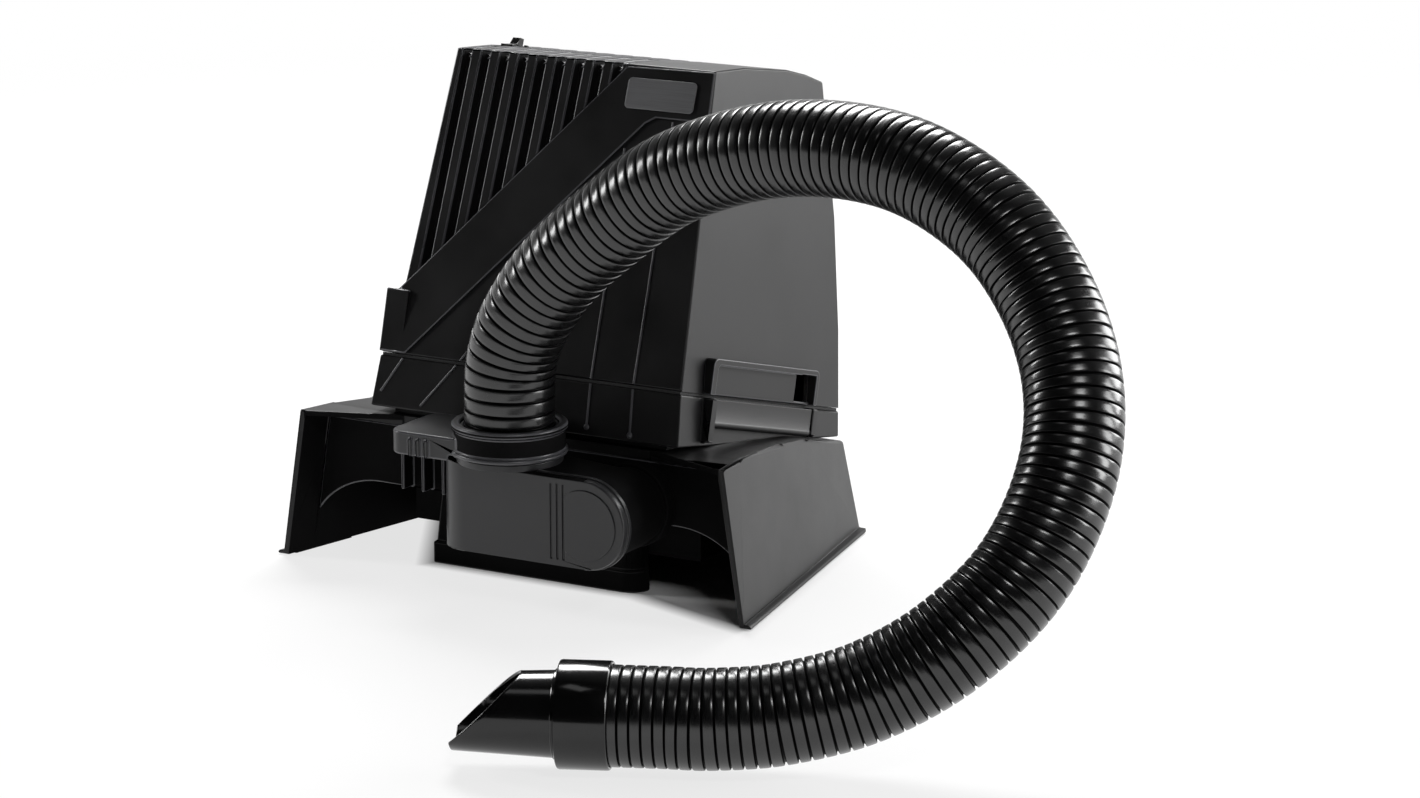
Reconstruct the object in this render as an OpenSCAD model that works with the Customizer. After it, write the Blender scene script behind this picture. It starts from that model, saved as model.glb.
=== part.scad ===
// Bench fume extractor: a leaning filter and fan unit on a flared stand, with a hose and a scoop nozzle.
// Millimetres, +Z up, front towards -Y. The origin is under the middle of the object, on the bench.

/* [Unit] */
// Half width of the unit at its parting line
unit_half_w = 112.5; // [105:0.5:115]
// Half width of the unit at its top front corner
top_half_w = 96.6; // [90:0.1:104]
// Depth of the unit along its parting plane
unit_d = 214.6; // [205:0.2:218]
// Height of the parting line above the bench at the front
part_z = 137.4; // [134:0.2:142]
// Lean of the whole unit towards the back
lean = 14.7; // [12:0.1:16]
// Wall of the housings
wall = 3; // [2:0.25:4]
// Gap along the parting line
part_gap = 2; // [1.5:0.25:3]

/* [Stand] */
// Half width of the stand at the bench, front
foot_half_w = 173; // [168:1:178]
// Half width of the stand at its top front corner
brow_half_w = 157.4; // [152:0.2:160]
// Height of the stand at its front corner
brow_z = 99.7; // [97:0.1:102]
// Width of the lip along the foot of each wing
lip_w = 5; // [3:0.5:6]

/* [Inlet] */
// Centre of the elbow's turning axis, to the right of the middle
hub_x = 84; // [80:1:88]
// Height of the elbow's turning axis
hub_z = 64.5; // [62:0.5:66]
// Half height of the elbow duct
duct_r = 28.5; // [27:0.5:29]
// Outer radius of the fixed spigot that the elbow turns on
spigot_r = 20; // [18:0.25:21]

/* [Hose] */
// Outer radius of the hose over its ribs
hose_r = 28.5; // [27:0.25:29]
// Radius of the hose in its grooves
groove_r = 26; // [25.5:0.25:27]
// Radius of the hose bore
bore_r = 24; // [22:0.25:25]
// Number of ribs
ribs = 136; // [90:1:140]

/* [Hidden] */
$fn = 64;

body_black = "#1d1d1f";
gloss_black = "#0d0d0e";
part_y = -68;
side_slope = (unit_half_w - top_half_w) / 202;
// The side profile of the upper housing: depth and height above the parting plane
back_low = [unit_d - 6.5, 52.5];
back_mid = [unit_d - 21.5, 125.8];
back_top = [unit_d - 49.6, 212.2];
crown = [115.6, 214.3];
crown_back = [142, 214.2];
crown_front = [57.9, 208.9];
top_front = [20.5, 202.4];
front_lean = atan2(top_front[0], top_front[1]);
// The bottom of the lower housing drops less at the back
low_front = -34.3;
low_back = -17.9;

// The unit's own frame: Y runs back along the parting plane, Z stands square to it
module unit_frame() {
    translate([0, part_y, part_z]) rotate([-lean, 0, 0]) children();
}
// Flat outline on the front face, X across and Y up the face, drawn outwards from the face
module on_front() {
    rotate([90 - front_lean, 0, 0]) children();
}
function half_w(z) = unit_half_w - z * side_slope;

// Solid with the side profile given, tapering to the sides, drawn in by inset
module tapered(profile, inset) {
    top = 240;
    low = -60;
    intersection() {
        rotate([90, 0, 90]) translate([0, 0, -150]) linear_extrude(300) polygon(profile);
        rotate([90, 0, 0]) translate([0, 0, -300]) linear_extrude(600) polygon([
            [-half_w(low) + inset, low], [half_w(low) - inset, low],
            [half_w(top) - inset, top], [-half_w(top) + inset, top]]);
    }
}
function upper_profile(inset, floor_z) = [
    [inset + top_front[0] * floor_z / top_front[1], floor_z], [unit_d - inset, floor_z],
    back_low - [inset, 0], back_mid - [inset, 0], back_top - [inset, inset],
    crown_back - [0, inset], crown - [0, inset], crown_front - [0, inset], top_front + [inset, -inset]];
function lower_profile(inset, top_z) = [
    [inset, low_front + inset], [unit_d + 2 - inset, low_back + inset],
    [unit_d - inset, top_z], [inset, top_z]];

// The stand's outer corners at one depth: outline from the bench to the brow, drawn in by inset
stand_front_y = -95;
stand_back_y = 138;
foot_back_w = 127;
brow_back_w = 116.4;
// Half width and height of the brow at some depths behind its front
brow_line = [[-64, 152.5, 99], [-31, 146.7, 96.2], [14, 138.9, 90.1], [60, 130.5, 82.4], [100, 123.4, 72.3]];
brow_back_z = 62.5;
stand_wall_t = 3;
deck_t = 7;
module post(x, y, z_low, z_high) {
    translate([x, y, z_low]) cylinder(h = z_high - z_low, r = 0.01, $fn = 8);
}
module stand_solid(inset, deck, front, low = foot_t) {
    hull() for (side = [-1, 1]) {
        post(side * (foot_half_w - inset), stand_front_y - front, low, 2);
        post(side * (foot_back_w - inset), stand_back_y + 5 - inset, low, 2);
        post(side * (brow_half_w - inset), stand_front_y - front, brow_z - deck - 1, brow_z - deck);
        for (b = brow_line) post(side * (b[1] - inset), b[0], b[2] - deck - 1, b[2] - deck);
        post(side * (brow_back_w - inset), stand_back_y - inset, brow_back_z - deck - 1, brow_back_z - deck);
    }
}
// Outer lip along the foot of one wing
module foot_lip() {
    lip_h = 2.5;
    translate([0, 0, foot_t]) linear_extrude(lip_h) polygon([
        [foot_half_w - 4, stand_front_y], [foot_half_w + lip_w, stand_front_y],
        [foot_back_w + lip_w, stand_back_y + 5], [foot_back_w - 4, stand_back_y + 5]]);
}
brow_notch_y = -72;
notch_x = 92;
// The brow stands back between the wings
module brow_notch() {
    translate([0, 0, -1]) linear_extrude(140) polygon([
        [-brow_half_w, stand_front_y - 1], [-notch_x, brow_notch_y],
        [notch_x, brow_notch_y], [brow_half_w, stand_front_y - 1]]);
}
wall_y = -69;
function floor_z(y) = low_front + (low_back - low_front) * y / (unit_d + 2);
// Raised seat under the unit, up to the bottom of the lower housing
seat_x = 102;
seat_y0 = 9;
seat_y1 = unit_d - 11.6;
module unit_seat() {
    rotate([90, 0, 90]) translate([0, 0, -seat_x]) linear_extrude(2 * seat_x) polygon([
        [seat_y0, floor_z(seat_y0) - 9], [seat_y1, floor_z(seat_y1) - 9],
        [seat_y1, floor_z(seat_y1)], [seat_y0, floor_z(seat_y0)]]);
}
side_gap = 0.4;
// Space that the lower housing takes above the stand
module housing_room() {
    far = unit_d + 20;
    tapered([[-side_gap, floor_z(-side_gap)], [far, floor_z(far)], [far, 20], [-side_gap, 20]], -side_gap);
}
screw_r = 1.9;
screw_x = 90;
screws_at = [for (side = [-1, 1]) each [[side * screw_x, seat_y0 + 13], [side * screw_x, seat_y1 - 11]]];
module screw_shanks() {
    for (p = screws_at) translate([p[0], p[1], floor_z(p[1]) - 6]) cylinder(h = 10, r = screw_r);
}
air_x = 70;
air_y0 = 20;
air_y1 = unit_d - 39.6;
module air_way(low, high) {
    translate([-air_x, air_y0, low]) cube([2 * air_x, air_y1 - air_y0, high - low]);
}
// The deck is thinner over the open front of the wings
brow_t = 3.5;
module stand_shell() color(body_black) difference() {
    union() {
        stand_solid(0, 0, 0);
        for (side = [0, 1]) mirror([side, 0, 0]) foot_lip();
        unit_frame() unit_seat();
    }
    stand_solid(stand_wall_t, deck_t, 4, -4);
    intersection() {
        stand_solid(stand_wall_t, brow_t, 4, -4);
        translate([-2 * foot_half_w, stand_front_y - 10, -10])
            cube([4 * foot_half_w, wall_y - stand_wall_t - 0.5 - stand_front_y + 10, 2 * brow_z]);
    }
    brow_notch();
    unit_frame() {
        housing_room();
        air_way(-80, 0);
        screw_shanks();
    }
}
// Inner wall set back between the wings, its lower edge arched at both ends
arch_z = 52;
arch_x = 112;
arch_stretch = 1.1;
rib_x = -88;
rib_pitch = 15.5;
rib_t = 2.4;
rib_d = 12;
rib_low = 53;
module stand_wall() color(body_black) difference() {
    intersection() {
        union() {
            translate([0, wall_y, 0]) rotate([90, 0, 0]) linear_extrude(stand_wall_t) difference() {
                translate([-180, 4]) square([360, 98]);
                translate([-arch_x, -1]) square([2 * arch_x, arch_z + 1]);
                for (side = [-1, 1]) translate([side * arch_x, 0]) scale([arch_stretch, 1])
                    circle(r = arch_z);
            }
            for (k = [0:2]) translate([rib_x + rib_pitch * k, wall_y - stand_wall_t - rib_d + 1, rib_low])
                cube([rib_t, rib_d, brow_z - rib_low]);
        }
        stand_solid(stand_wall_t + 0.05, deck_t + 0.05, 4, -4);
    }
    on_hub(wall_y + 1) cylinder(h = 14, r = spigot_r);
}
tray_half_w = 78;
tray_front_y = -62;
tray_round = 14;
tray_d = 14;
band_h = 14.5;
tray_h = 60;
tray_draft = 8;
module tray_outline(inset) {
    r = tray_round - inset;
    w = tray_half_w - inset;
    translate([-w, inset]) square([2 * w - r, tray_d - inset]);
    intersection() {
        translate([w - r, inset + r]) circle(r = r);
        square([w + r, tray_d]);
    }
}
// Tub below the wall: a foot band, and above it walls, of which the left one leans in
module front_tray() color(body_black) translate([0, tray_front_y, 0]) difference() {
    union() {
        linear_extrude(band_h) tray_outline(0);
        intersection() {
            linear_extrude(tray_h) tray_outline(1.2);
            rotate([90, 0, 0]) translate([0, 0, -30]) linear_extrude(60) polygon([
                [-tray_half_w, 0], [tray_half_w, 0], [tray_half_w, tray_h], [-tray_half_w + tray_draft, tray_h]]);
        }
    }
    translate([0, 0, -1]) linear_extrude(band_h) tray_outline(wall);
    translate([0, -tray_front_y, 0]) on_hub(tray_front_y + 20) cylinder(h = 30, r = spigot_r);
}
// Rubber strips under the foot of each wing, near its ends
foot_t = 0.6;
strip_w = 3.5;
strip_ends = [[-88, -38], [84, 134]];
function foot_x(y) = foot_half_w
    + (foot_back_w - foot_half_w) * (y - stand_front_y) / (stand_back_y + 5 - stand_front_y);
module rubber_feet() color("#111112") for (side = [0, 1]) mirror([side, 0, 0]) for (e = strip_ends)
    linear_extrude(foot_t) polygon([[foot_x(e[0]) - strip_w, e[0]], [foot_x(e[0]) + lip_w - 1, e[0]],
        [foot_x(e[1]) + lip_w - 1, e[1]], [foot_x(e[1]) - strip_w, e[1]]]);
module stand_screws() color("#8c8f94") unit_frame() {
    screw_shanks();
    for (p = screws_at) translate([p[0], p[1], floor_z(p[1]) + 3.8]) cylinder(h = 2.4, r = 3.8);
}

plenum_wall = 3;
plenum_left = -100;
plenum_w = 215;
plenum_d = 116;
plenum_low = 24;
plenum_y = tray_front_y + tray_d;
module plenum_block(inset, low, high) {
    translate([plenum_left + inset, plenum_y + inset, low])
        cube([plenum_w - 2 * inset, plenum_d - 2 * inset, high - low]);
}
module intake_plenum() color(body_black) difference() {
    intersection() {
        plenum_block(0, plenum_low, 120);
        stand_solid(12, deck_t + 0.05, 4, -4);
    }
    plenum_block(plenum_wall, plenum_low + plenum_wall, 130);
    on_hub(plenum_y + 10) cylinder(h = 20, r = spigot_r);
}
spigot_back_y = plenum_y + 6;
spigot_front_y = -110;
hub_back_y = -82;
spigot_l = spigot_back_y - spigot_front_y;
// Lies along Y on the elbow's turning axis, from y towards the front
module on_hub(y) {
    translate([hub_x, y, hub_z]) rotate([90, 0, 0]) children();
}
module inlet_spigot() color("#2a2a2c") on_hub(spigot_back_y) difference() {
    cylinder(h = spigot_l, r = spigot_r);
    translate([0, 0, -1]) cylinder(h = spigot_l + 2, r = spigot_r - 3);
}
// Socket on the wall round the spigot
flange_r = 27;
flange_gap = 0.4;
module spigot_flange() color(body_black) on_hub(wall_y - stand_wall_t) difference() {
    cylinder(h = wall_y - stand_wall_t - flange_gap - hub_back_y, r = flange_r);
    translate([0, 0, -1]) cylinder(h = 30, r = spigot_r);
}
ring_y = -97;
module spigot_ring() color("#6d7075") on_hub(ring_y) difference() {
    cylinder(h = 2, r = spigot_r + 2.2);
    translate([0, 0, -1]) cylinder(h = 4, r = spigot_r);
}

half_gap = part_gap / 2;
pin_z = -17;
pin_r = 1.5;
pin_out = 3.4;
frame_y0 = 28;
frame_y1 = unit_d - 43.6;
frame_out = 6.5;
frame_bar = 6;
latch_y0 = frame_y0 + frame_bar + 0.6;
latch_y1 = frame_y1 - frame_bar - 1.6;
function latch_x() = half_w(pin_z) + pin_out;
// The lower half of the raised frame on one side: two bars, which hold the latch pin
rail_x = 78;
module frame_feet() {
    for (y = [frame_y0, frame_y1 - frame_bar - 1]) difference() {
        low = floor_z(y) + 3;
        translate([half_w(pin_z) - 3, y, low]) cube([frame_out + 3, frame_bar, -half_gap - low]);
        translate([latch_x(), y - 1, pin_z]) rotate([-90, 0, 0]) cylinder(h = frame_bar + 2, r = pin_r);
    }
}
module lower_housing() color(body_black) unit_frame() {
    difference() {
        tapered(lower_profile(0, -half_gap), 0);
        tapered(lower_profile(wall, 20), wall);
        air_way(-60, 0);
        screw_shanks();
    }
    // Rails that the filters rest on
    intersection() {
        tapered(lower_profile(wall - 0.5, pad_z - 0.1), wall);
        for (side = [-1, 1]) translate([side * rail_x - 3, pad_y0 + 2, -50])
            cube([6, pad_y1 - pad_y0 - 4, 50]);
    }
    for (side = [0, 1]) mirror([side, 0, 0]) difference() {
        frame_feet();
        tapered(lower_profile(0.5, -half_gap), 0.5);
    }
}
module inner_frame(w, y0, y1, z0, z1, rim) {
    translate([-w, y0, z0]) difference() {
        cube([2 * w, y1 - y0, z1 - z0]);
        translate([rim, rim, -1]) cube([2 * w - 2 * rim, y1 - y0 - 2 * rim, z1 - z0 + 2]);
    }
}
module parting_gasket() color("#39393b") unit_frame()
    inner_frame(unit_half_w - 1.2, 1.2, unit_d - 1.4, -half_gap, half_gap - 0.2, 6);
filter_x = unit_half_w - 20.5;
pad_z = -12;
pad_x = filter_x - 4;
pad_y0 = 14;
pad_y1 = unit_d - 28.6;
module prefilter_pad() color("#8d9299") unit_frame()
    translate([-pad_x, pad_y0, pad_z]) cube([2 * pad_x, pad_y1 - pad_y0, -pad_z - 0.1]);
filter_y0 = 30;
filter_y1 = unit_d - 32.6;
filter_top = 70;
card_t = 3;
filter_gap = 0.3;
module filter_frame() color("#d9d4c6") unit_frame()
    inner_frame(filter_x, filter_y0, filter_y1, 0, filter_top, card_t);
// Pleated sheet folded across the filter frame
pleats = 12;
pleat_t = 12;
pleat_y = filter_y0 + card_t + filter_gap;
pleat_d = filter_y1 - card_t - filter_gap - pleat_y;
pleat_x = filter_x - card_t - filter_gap;
pleat_z = 2;
pleat_h = 46;
module filter_media() color("#f1efe8") unit_frame() translate([0, pleat_y, pleat_z])
    linear_extrude(pleat_h) polygon(concat(
    [for (k = [0:pleats]) [pleat_x * (2 * k / pleats - 1), k % 2 == 0 ? 0 : pleat_d - pleat_t]],
    [for (k = [pleats:-1:0]) [pleat_x * (2 * k / pleats - 1), k % 2 == 0 ? pleat_t : pleat_d]]));
carbon_z = pleat_z + pleat_h + 2;
module carbon_bed() color("#1a1a1a") unit_frame() translate([-pleat_x, pleat_y, carbon_z])
    cube([2 * pleat_x, pleat_d, filter_top - 2 - carbon_z]);
module latch_pin(side) {
    color("#9a9da2") unit_frame() mirror([side, 0, 0])
        translate([latch_x(), latch_y0 - 5, pin_z]) rotate([-90, 0, 0])
        cylinder(h = latch_y1 - latch_y0 + 10, r = pin_r);
}
module left_latch_pin() latch_pin(1);
module right_latch_pin() latch_pin(0);
latch_top = -1.6;
module latch(side) {
    color(body_black) unit_frame() mirror([side, 0, 0]) difference() {
        union() {
            translate([half_w(pin_z) + 0.4, latch_y0, pin_z])
                cube([5.2, latch_y1 - latch_y0, latch_top - pin_z]);
            translate([latch_x(), latch_y0, pin_z]) rotate([-90, 0, 0])
                cylinder(h = latch_y1 - latch_y0, r = 2.7);
        }
        translate([latch_x(), latch_y0 - 1, pin_z]) rotate([-90, 0, 0])
            cylinder(h = latch_y1 - latch_y0 + 2, r = pin_r + 0.05);
    }
}
module left_latch() latch(1);
module right_latch() latch(0);

fin_depth = 9.5;
fin_line_low = [-130, 16];
fin_line_high = [32.7, 201.1];
fin_tilt = 2.9;
top_depth = 6.5;
top_back = [unit_d - 64.6, 212.8];
face_h = norm(top_front);
// The finned face leans back from the front face, below its top edge
module on_fins() {
    on_front() translate([0, face_h, 0]) rotate([fin_tilt, 0, 0]) translate([0, -face_h, 0]) children();
}
module fin_corner(z0, z1) {
    translate([0, 0, z0]) linear_extrude(z1 - z0)
        polygon([fin_line_low, fin_line_high, fin_line_high + [3, 40], [-130, 241]]);
}
// Space that the finned piece takes out of the housing: a corner of the front and a strip of the top
module fin_space() {
    on_fins() fin_corner(-fin_depth, 30);
    drop = [0, -top_depth];
    rotate([90, 0, 90]) translate([0, 0, -130]) linear_extrude(130 + fin_line_high[0]) polygon([
        top_front + drop, crown_front + drop, crown + drop, top_back + drop,
        top_back + [0, 30], top_front + [0, 40]]);
}
grooves = 9;
fin_pitch = 14.2;
groove_w = 6.4;
groove_start = -91.9;
fin_turn = -3;
top_groove = 4;
// Grooves down the front, leaning with the side, and on over the top
module fin_grooves() {
    on_fins() for (k = [0:grooves - 1]) translate([groove_start + k * fin_pitch, face_h, -fin_depth + 2.5])
        rotate(fin_turn) translate([0, -220, 0]) cube([groove_w, 260, 20]);
    drop = [0, -top_groove];
    for (k = [0:grooves - 1]) translate([groove_start + k * fin_pitch, 0, 0]) rotate([90, 0, 90])
        linear_extrude(groove_w) polygon([top_front + [-9, -top_groove - 2], crown_front + drop, crown + drop,
            top_back + [-8, -top_groove], top_back + [-8, 30], top_front + [-9, 40]]);
}
rear_lean = atan2(back_low[0] - back_mid[0], back_mid[1] - back_low[1]);
// Flat on the middle of the back: X across, Z up the face, +Y out of it
module on_back() {
    middle = (back_low + back_mid) / 2;
    translate([0, middle[0], middle[1]]) rotate([rear_lean, 0, 0]) children();
}
vent_w = 120;
vent_h = 46;
inlet_w = 30;
inlet_h = 24;
inlet_z = 26;
inlet_x = -60;
inlet_d = 14;
inlet_wall = 3;
module on_back_low() {
    slope = (unit_d - back_low[0]) / (back_low[1] - half_gap);
    translate([0, unit_d - slope * (inlet_z - half_gap), inlet_z]) rotate([atan(slope), 0, 0]) children();
}
switch_at = [-85, 70, 210];
lens_r = 1.3;
bezel_w = 9.2;
bezel_l = 18;
rocker_w = 6;
// Signal lens beside the switch, with the tongue that carries it
module lens(h) {
    translate([6.8, 4, -1.8]) cylinder(h = h, r = lens_r);
    translate([4.5, 2, -1.8]) cube([3, 4, 2.2]);
}
// Hole for the switch body, through the finned strip and the housing
module switch_hole() {
    translate(switch_at + [-bezel_w / 2, -bezel_l / 2, -14]) cube([bezel_w, bezel_l, 24]);
    translate(switch_at) lens(10);
}
module upper_housing() color(body_black) unit_frame() difference() {
    tapered(upper_profile(0, half_gap), 0);
    tapered(upper_profile(wall, -20), wall);
    fin_space();
    on_back() translate([-vent_w / 2, -20, -vent_h / 2]) cube([vent_w, 40, vent_h]);
    on_back_low() translate([-inlet_w / 2 + inlet_x, -10, -inlet_h / 2]) cube([inlet_w, 20, inlet_h]);
    switch_hole();
    for (side = [0, 1]) mirror([side, 0, 0]) grip_slot();
}
module front_fins() color(body_black) unit_frame() difference() {
    intersection() {
        tapered(upper_profile(0, half_gap), 0);
        fin_space();
    }
    on_fins() translate([-200, -50, -0.1]) cube([400, 320, 60]);
    fin_grooves();
    switch_hole();
}
band_t = 1.5;
module front_band() color("#222224") unit_frame() {
    on_front() linear_extrude(band_t) polygon([[-111.8, 1.5], [-93.3, 1.5], [-70, 27.5], [53.2, 165.9],
        [60, 170], [98.6, 170], [96.8, 202.5], [33.4, 201.5], fin_line_high, [-104.7, 45], [-108, 41]]);
    difference() {
        translate([-114, 0, 1.5]) cube([17, frame_y0 - 0.5, 41]);
        tapered(upper_profile(-0.02, half_gap), -0.02);
    }
}
module rounded_plate(w, h, r, t) {
    linear_extrude(t) {
        translate([-w / 2 + r, -h / 2]) square([w - 2 * r, h]);
        translate([-w / 2, -h / 2 + r]) square([w, h - 2 * r]);
        for (x = [-1, 1]) for (y = [-1, 1]) translate([x * (w / 2 - r), y * (h / 2 - r)]) circle(r = r);
    }
}
badge_at = [61.5, 184.5];
badge_size = [50, 20];
module badge_plate() color("#3a3a3d") unit_frame() on_front() translate([badge_at[0], badge_at[1], band_t])
    rounded_plate(badge_size[0], badge_size[1], 3, 1.2);
frame_top = 24;
slot_d = 20;
slot_y = frame_y1 - slot_d - 4;
// Deep slot at the back of the finger grip
module grip_slot() {
    translate([half_w(10) - 6, slot_y, 2.5]) cube([40, slot_d, 18]);
}
// Block along one side from x0 outwards, its two top corners round
module arched(x0, x1, y0, y1, z0, z1, r) {
    rotate([90, 0, 90]) translate([0, 0, x0]) linear_extrude(x1 - x0) {
        translate([y0, z0]) square([y1 - y0, z1 - z0 - r]);
        translate([y0 + r, z0]) square([y1 - y0 - 2 * r, z1 - z0]);
        for (y = [y0 + r, y1 - r]) translate([y, z1 - r]) circle(r = r);
    }
}
arch_bar = 4;
arch_round = 5;
grip_wall = 2;
// Raised frame round the finger grip on one side of the upper housing
module grip(side) {
    face_x = half_w(10);
    color(body_black) unit_frame() mirror([side, 0, 0]) difference() {
        arched(100, face_x + frame_out, frame_y0, frame_y1, half_gap, frame_top, arch_round);
        tapered(upper_profile(-0.02, -10), -0.02);
        arched(face_x + grip_wall, face_x + 20, frame_y0 + frame_bar, frame_y1 - arch_bar, -1,
            frame_top - arch_bar, arch_round - 2);
        grip_slot();
    }
}
module left_grip() grip(1);
module right_grip() grip(0);

fan_at = [0, unit_d / 2 - 1.3, 0];
scroll_r = unit_d / 2 - 37.3;
scroll_t = 2.5;
impeller_r = scroll_r - 10;
eye_r = impeller_r - 14;
deck_z = 112;
scroll_top = 158;
module fan_deck() color("#5b5e63") unit_frame() difference() {
    intersection() {
        tapered(upper_profile(wall, -20), wall);
        translate([-150, 0, deck_z]) cube([300, 260, 3]);
    }
    translate(fan_at + [0, 0, deck_z - 1]) cylinder(h = 6, r = eye_r);
    fin_space();
}
module fan_scroll() color("#2f3033") unit_frame() translate(fan_at + [0, 0, deck_z + 3]) difference() {
    cylinder(h = scroll_top - deck_z - 3, r = scroll_r);
    translate([0, 0, -1]) cylinder(h = 60, r = scroll_r - scroll_t);
    translate([-30, scroll_r / 2, 4]) cube([60, scroll_r, 34]);
}
module motor_plate() color("#8a8d92") unit_frame() translate(fan_at + [0, 0, scroll_top]) difference() {
    cylinder(h = 3, r = scroll_r);
    translate([0, 0, -1]) cylinder(h = 5, r = 9);
}
shaft_r = 4;
motor_r = 27;
motor_h = 30;
module motor() color("#55585d") unit_frame() translate(fan_at + [0, 0, scroll_top + 3]) difference() {
    union() {
        cylinder(h = motor_h, r = motor_r);
        cylinder(h = motor_h + 4, r = motor_r / 2);
    }
    translate([0, 0, -1]) cylinder(h = 25, r = shaft_r + 0.05);
}
impeller_z = 120;
module motor_shaft() color("#b9bcc1") unit_frame() translate(fan_at + [0, 0, impeller_z + 2])
    cylinder(h = 60, r = shaft_r);
blades = 14;
module impeller() color("#202124") unit_frame() translate(fan_at + [0, 0, impeller_z]) {
    difference() {
        union() {
            translate([0, 0, 29]) cylinder(h = 2.5, r = impeller_r);
            translate([0, 0, 10]) cylinder(h = 20, r = 11);
        }
        translate([0, 0, -1]) cylinder(h = 60, r = shaft_r);
    }
    difference() {
        cylinder(h = 2, r = impeller_r);
        translate([0, 0, -1]) cylinder(h = 4, r = eye_r + 1);
    }
    for (k = [0:blades - 1]) rotate(k * 360 / blades) translate([impeller_r - 19, 0, 1]) rotate(35)
        cube([20, 1.6, 28.5]);
}
board_w = 32;
board_l = 56;
board_t = 1.6;
can_r = 6;
module control_board() color("#1f5a36") unit_frame()
    translate(fan_at + [motor_r + 5, -board_l / 2, scroll_top + 3]) {
    cube([board_w, board_l, board_t]);
    for (k = [-1, 0, 1]) translate([2 * can_r, board_l / 2 - 2 + 16 * k, board_t])
        cylinder(h = 14, r = can_r);
    translate([board_w - 11, board_l / 2 - 8, board_t]) cube([8, 18, 8]);
}
panel_rim = 15;
panel_edge = 11;
module rear_panel() color("#1a1a1c") unit_frame() on_back() difference() {
    translate([-vent_w / 2 - panel_rim, 0, -vent_h / 2 - panel_edge])
        cube([vent_w + 2 * panel_rim, 1, vent_h + 2 * panel_edge]);
    translate([-vent_w / 2, -5, -vent_h / 2]) cube([vent_w, 12, vent_h]);
}
louvre_rows = 7;
louvre_pitch = 6;
louvre_gap = 4;
louvre_rim = 4;
module exhaust_grille() color("#151517") unit_frame() on_back() difference() {
    translate([-vent_w / 2, -2.5, -vent_h / 2]) cube([vent_w, 4, vent_h]);
    for (k = [0:louvre_rows - 1])
        translate([-vent_w / 2 + louvre_rim, -5, -vent_h / 2 + 3 + k * louvre_pitch])
        cube([vent_w - 2 * louvre_rim, 12, louvre_gap]);
}
ear_w = 8;
module power_inlet() color("#121213") unit_frame() on_back_low() translate([inlet_x, 0, 0]) difference() {
    union() {
        translate([-inlet_w / 2, -inlet_d, -inlet_h / 2]) cube([inlet_w, inlet_d, inlet_h]);
        translate([-inlet_w / 2 - ear_w, 0, -inlet_h / 2 - inlet_wall])
            cube([inlet_w + 2 * ear_w, 2, inlet_h + 2 * inlet_wall]);
    }
    translate([-inlet_w / 2 + inlet_wall, inlet_wall - inlet_d, -inlet_h / 2 + inlet_wall])
        cube([inlet_w - 2 * inlet_wall, 20, inlet_h - 2 * inlet_wall]);
}
axle_z = -2;
axle_r = 1;
// Cross axle of the rocker
module rocker_axle(r, half_l) {
    translate([-half_l, 0, axle_z]) rotate([0, 90, 0]) cylinder(h = 2 * half_l, r = r);
}
module switch_bezel() color("#151516") unit_frame() translate(switch_at) difference() {
    union() {
        translate([-bezel_w / 2, -bezel_l / 2, -10]) cube([bezel_w, bezel_l, 10.6]);
        lens(3.4);
    }
    translate([-rocker_w / 2 - 0.4, -bezel_l / 2 + 0.8, -7]) cube([rocker_w + 0.8, bezel_l - 1.6, 20]);
    rocker_axle(axle_r + 0.06, rocker_w / 2 + 1.4);
}
// Rocker with its back end standing up, on its axle
module power_switch() color("#0c0c0d") unit_frame() translate(switch_at) {
    rotate([90, 0, 90]) translate([0, 0, -rocker_w / 2]) linear_extrude(rocker_w) polygon([
        [-6, -4], [6, -4], [6.8, 5.8], [2.6, 6.2], [-1, 1.8], [-6.6, 0.8]]);
    rocker_axle(axle_r, rocker_w / 2 + 1.2);
}
duct_front_y = -138;
duct_back_y = -90;
duct_left_x = -28;
duct_wall = 3;
face_d = 8;
plate_step = 2.5;
waist_x = 34;
hub_fit = 0.08;
hub_r = 25;
// Flat outline of the duct seen from the front, its right end round, up to half height r and drawn back to x0
module duct_outline(x0, r, end_r) {
    translate([hub_x, hub_z]) circle(r = end_r);
    polygon([[x0, hub_z - r], [hub_x - waist_x, hub_z - r], [hub_x, hub_z - end_r], [hub_x, hub_z + end_r],
        [hub_x - waist_x, hub_z + r], [x0, hub_z + r]]);
}
// The duct: a flat box, round about an upright axis at its left, and at its right round about the turning axis,
// where the body behind the front plate is drawn in
module duct_solid(inset) {
    r = (duct_back_y - duct_front_y) / 2 - inset;
    y0 = duct_front_y + inset;
    y1 = duct_back_y - inset;
    x0 = duct_left_x + inset;
    intersection() {
        union() {
            translate([0, duct_front_y + face_d - inset, 0]) rotate([90, 0, 0])
                linear_extrude(face_d - 2 * inset) duct_outline(x0, duct_r - inset, duct_r - inset);
            translate([0, y1, 0]) rotate([90, 0, 0]) linear_extrude(y1 - y0)
                duct_outline(x0, duct_r - inset, duct_r - plate_step - inset);
        }
        linear_extrude(140) {
            translate([x0 + r, y0]) square([140, y1 - y0]);
            translate([x0 + r, y0 + r]) circle(r = r);
        }
    }
}
neck_x = 16;
neck_y = -115;
neck_seat_z = 99.5;
neck_top_z = 116;
neck_r = 31;
port_r = 20.5;
duct_top_z = hub_z + duct_r;
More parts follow.
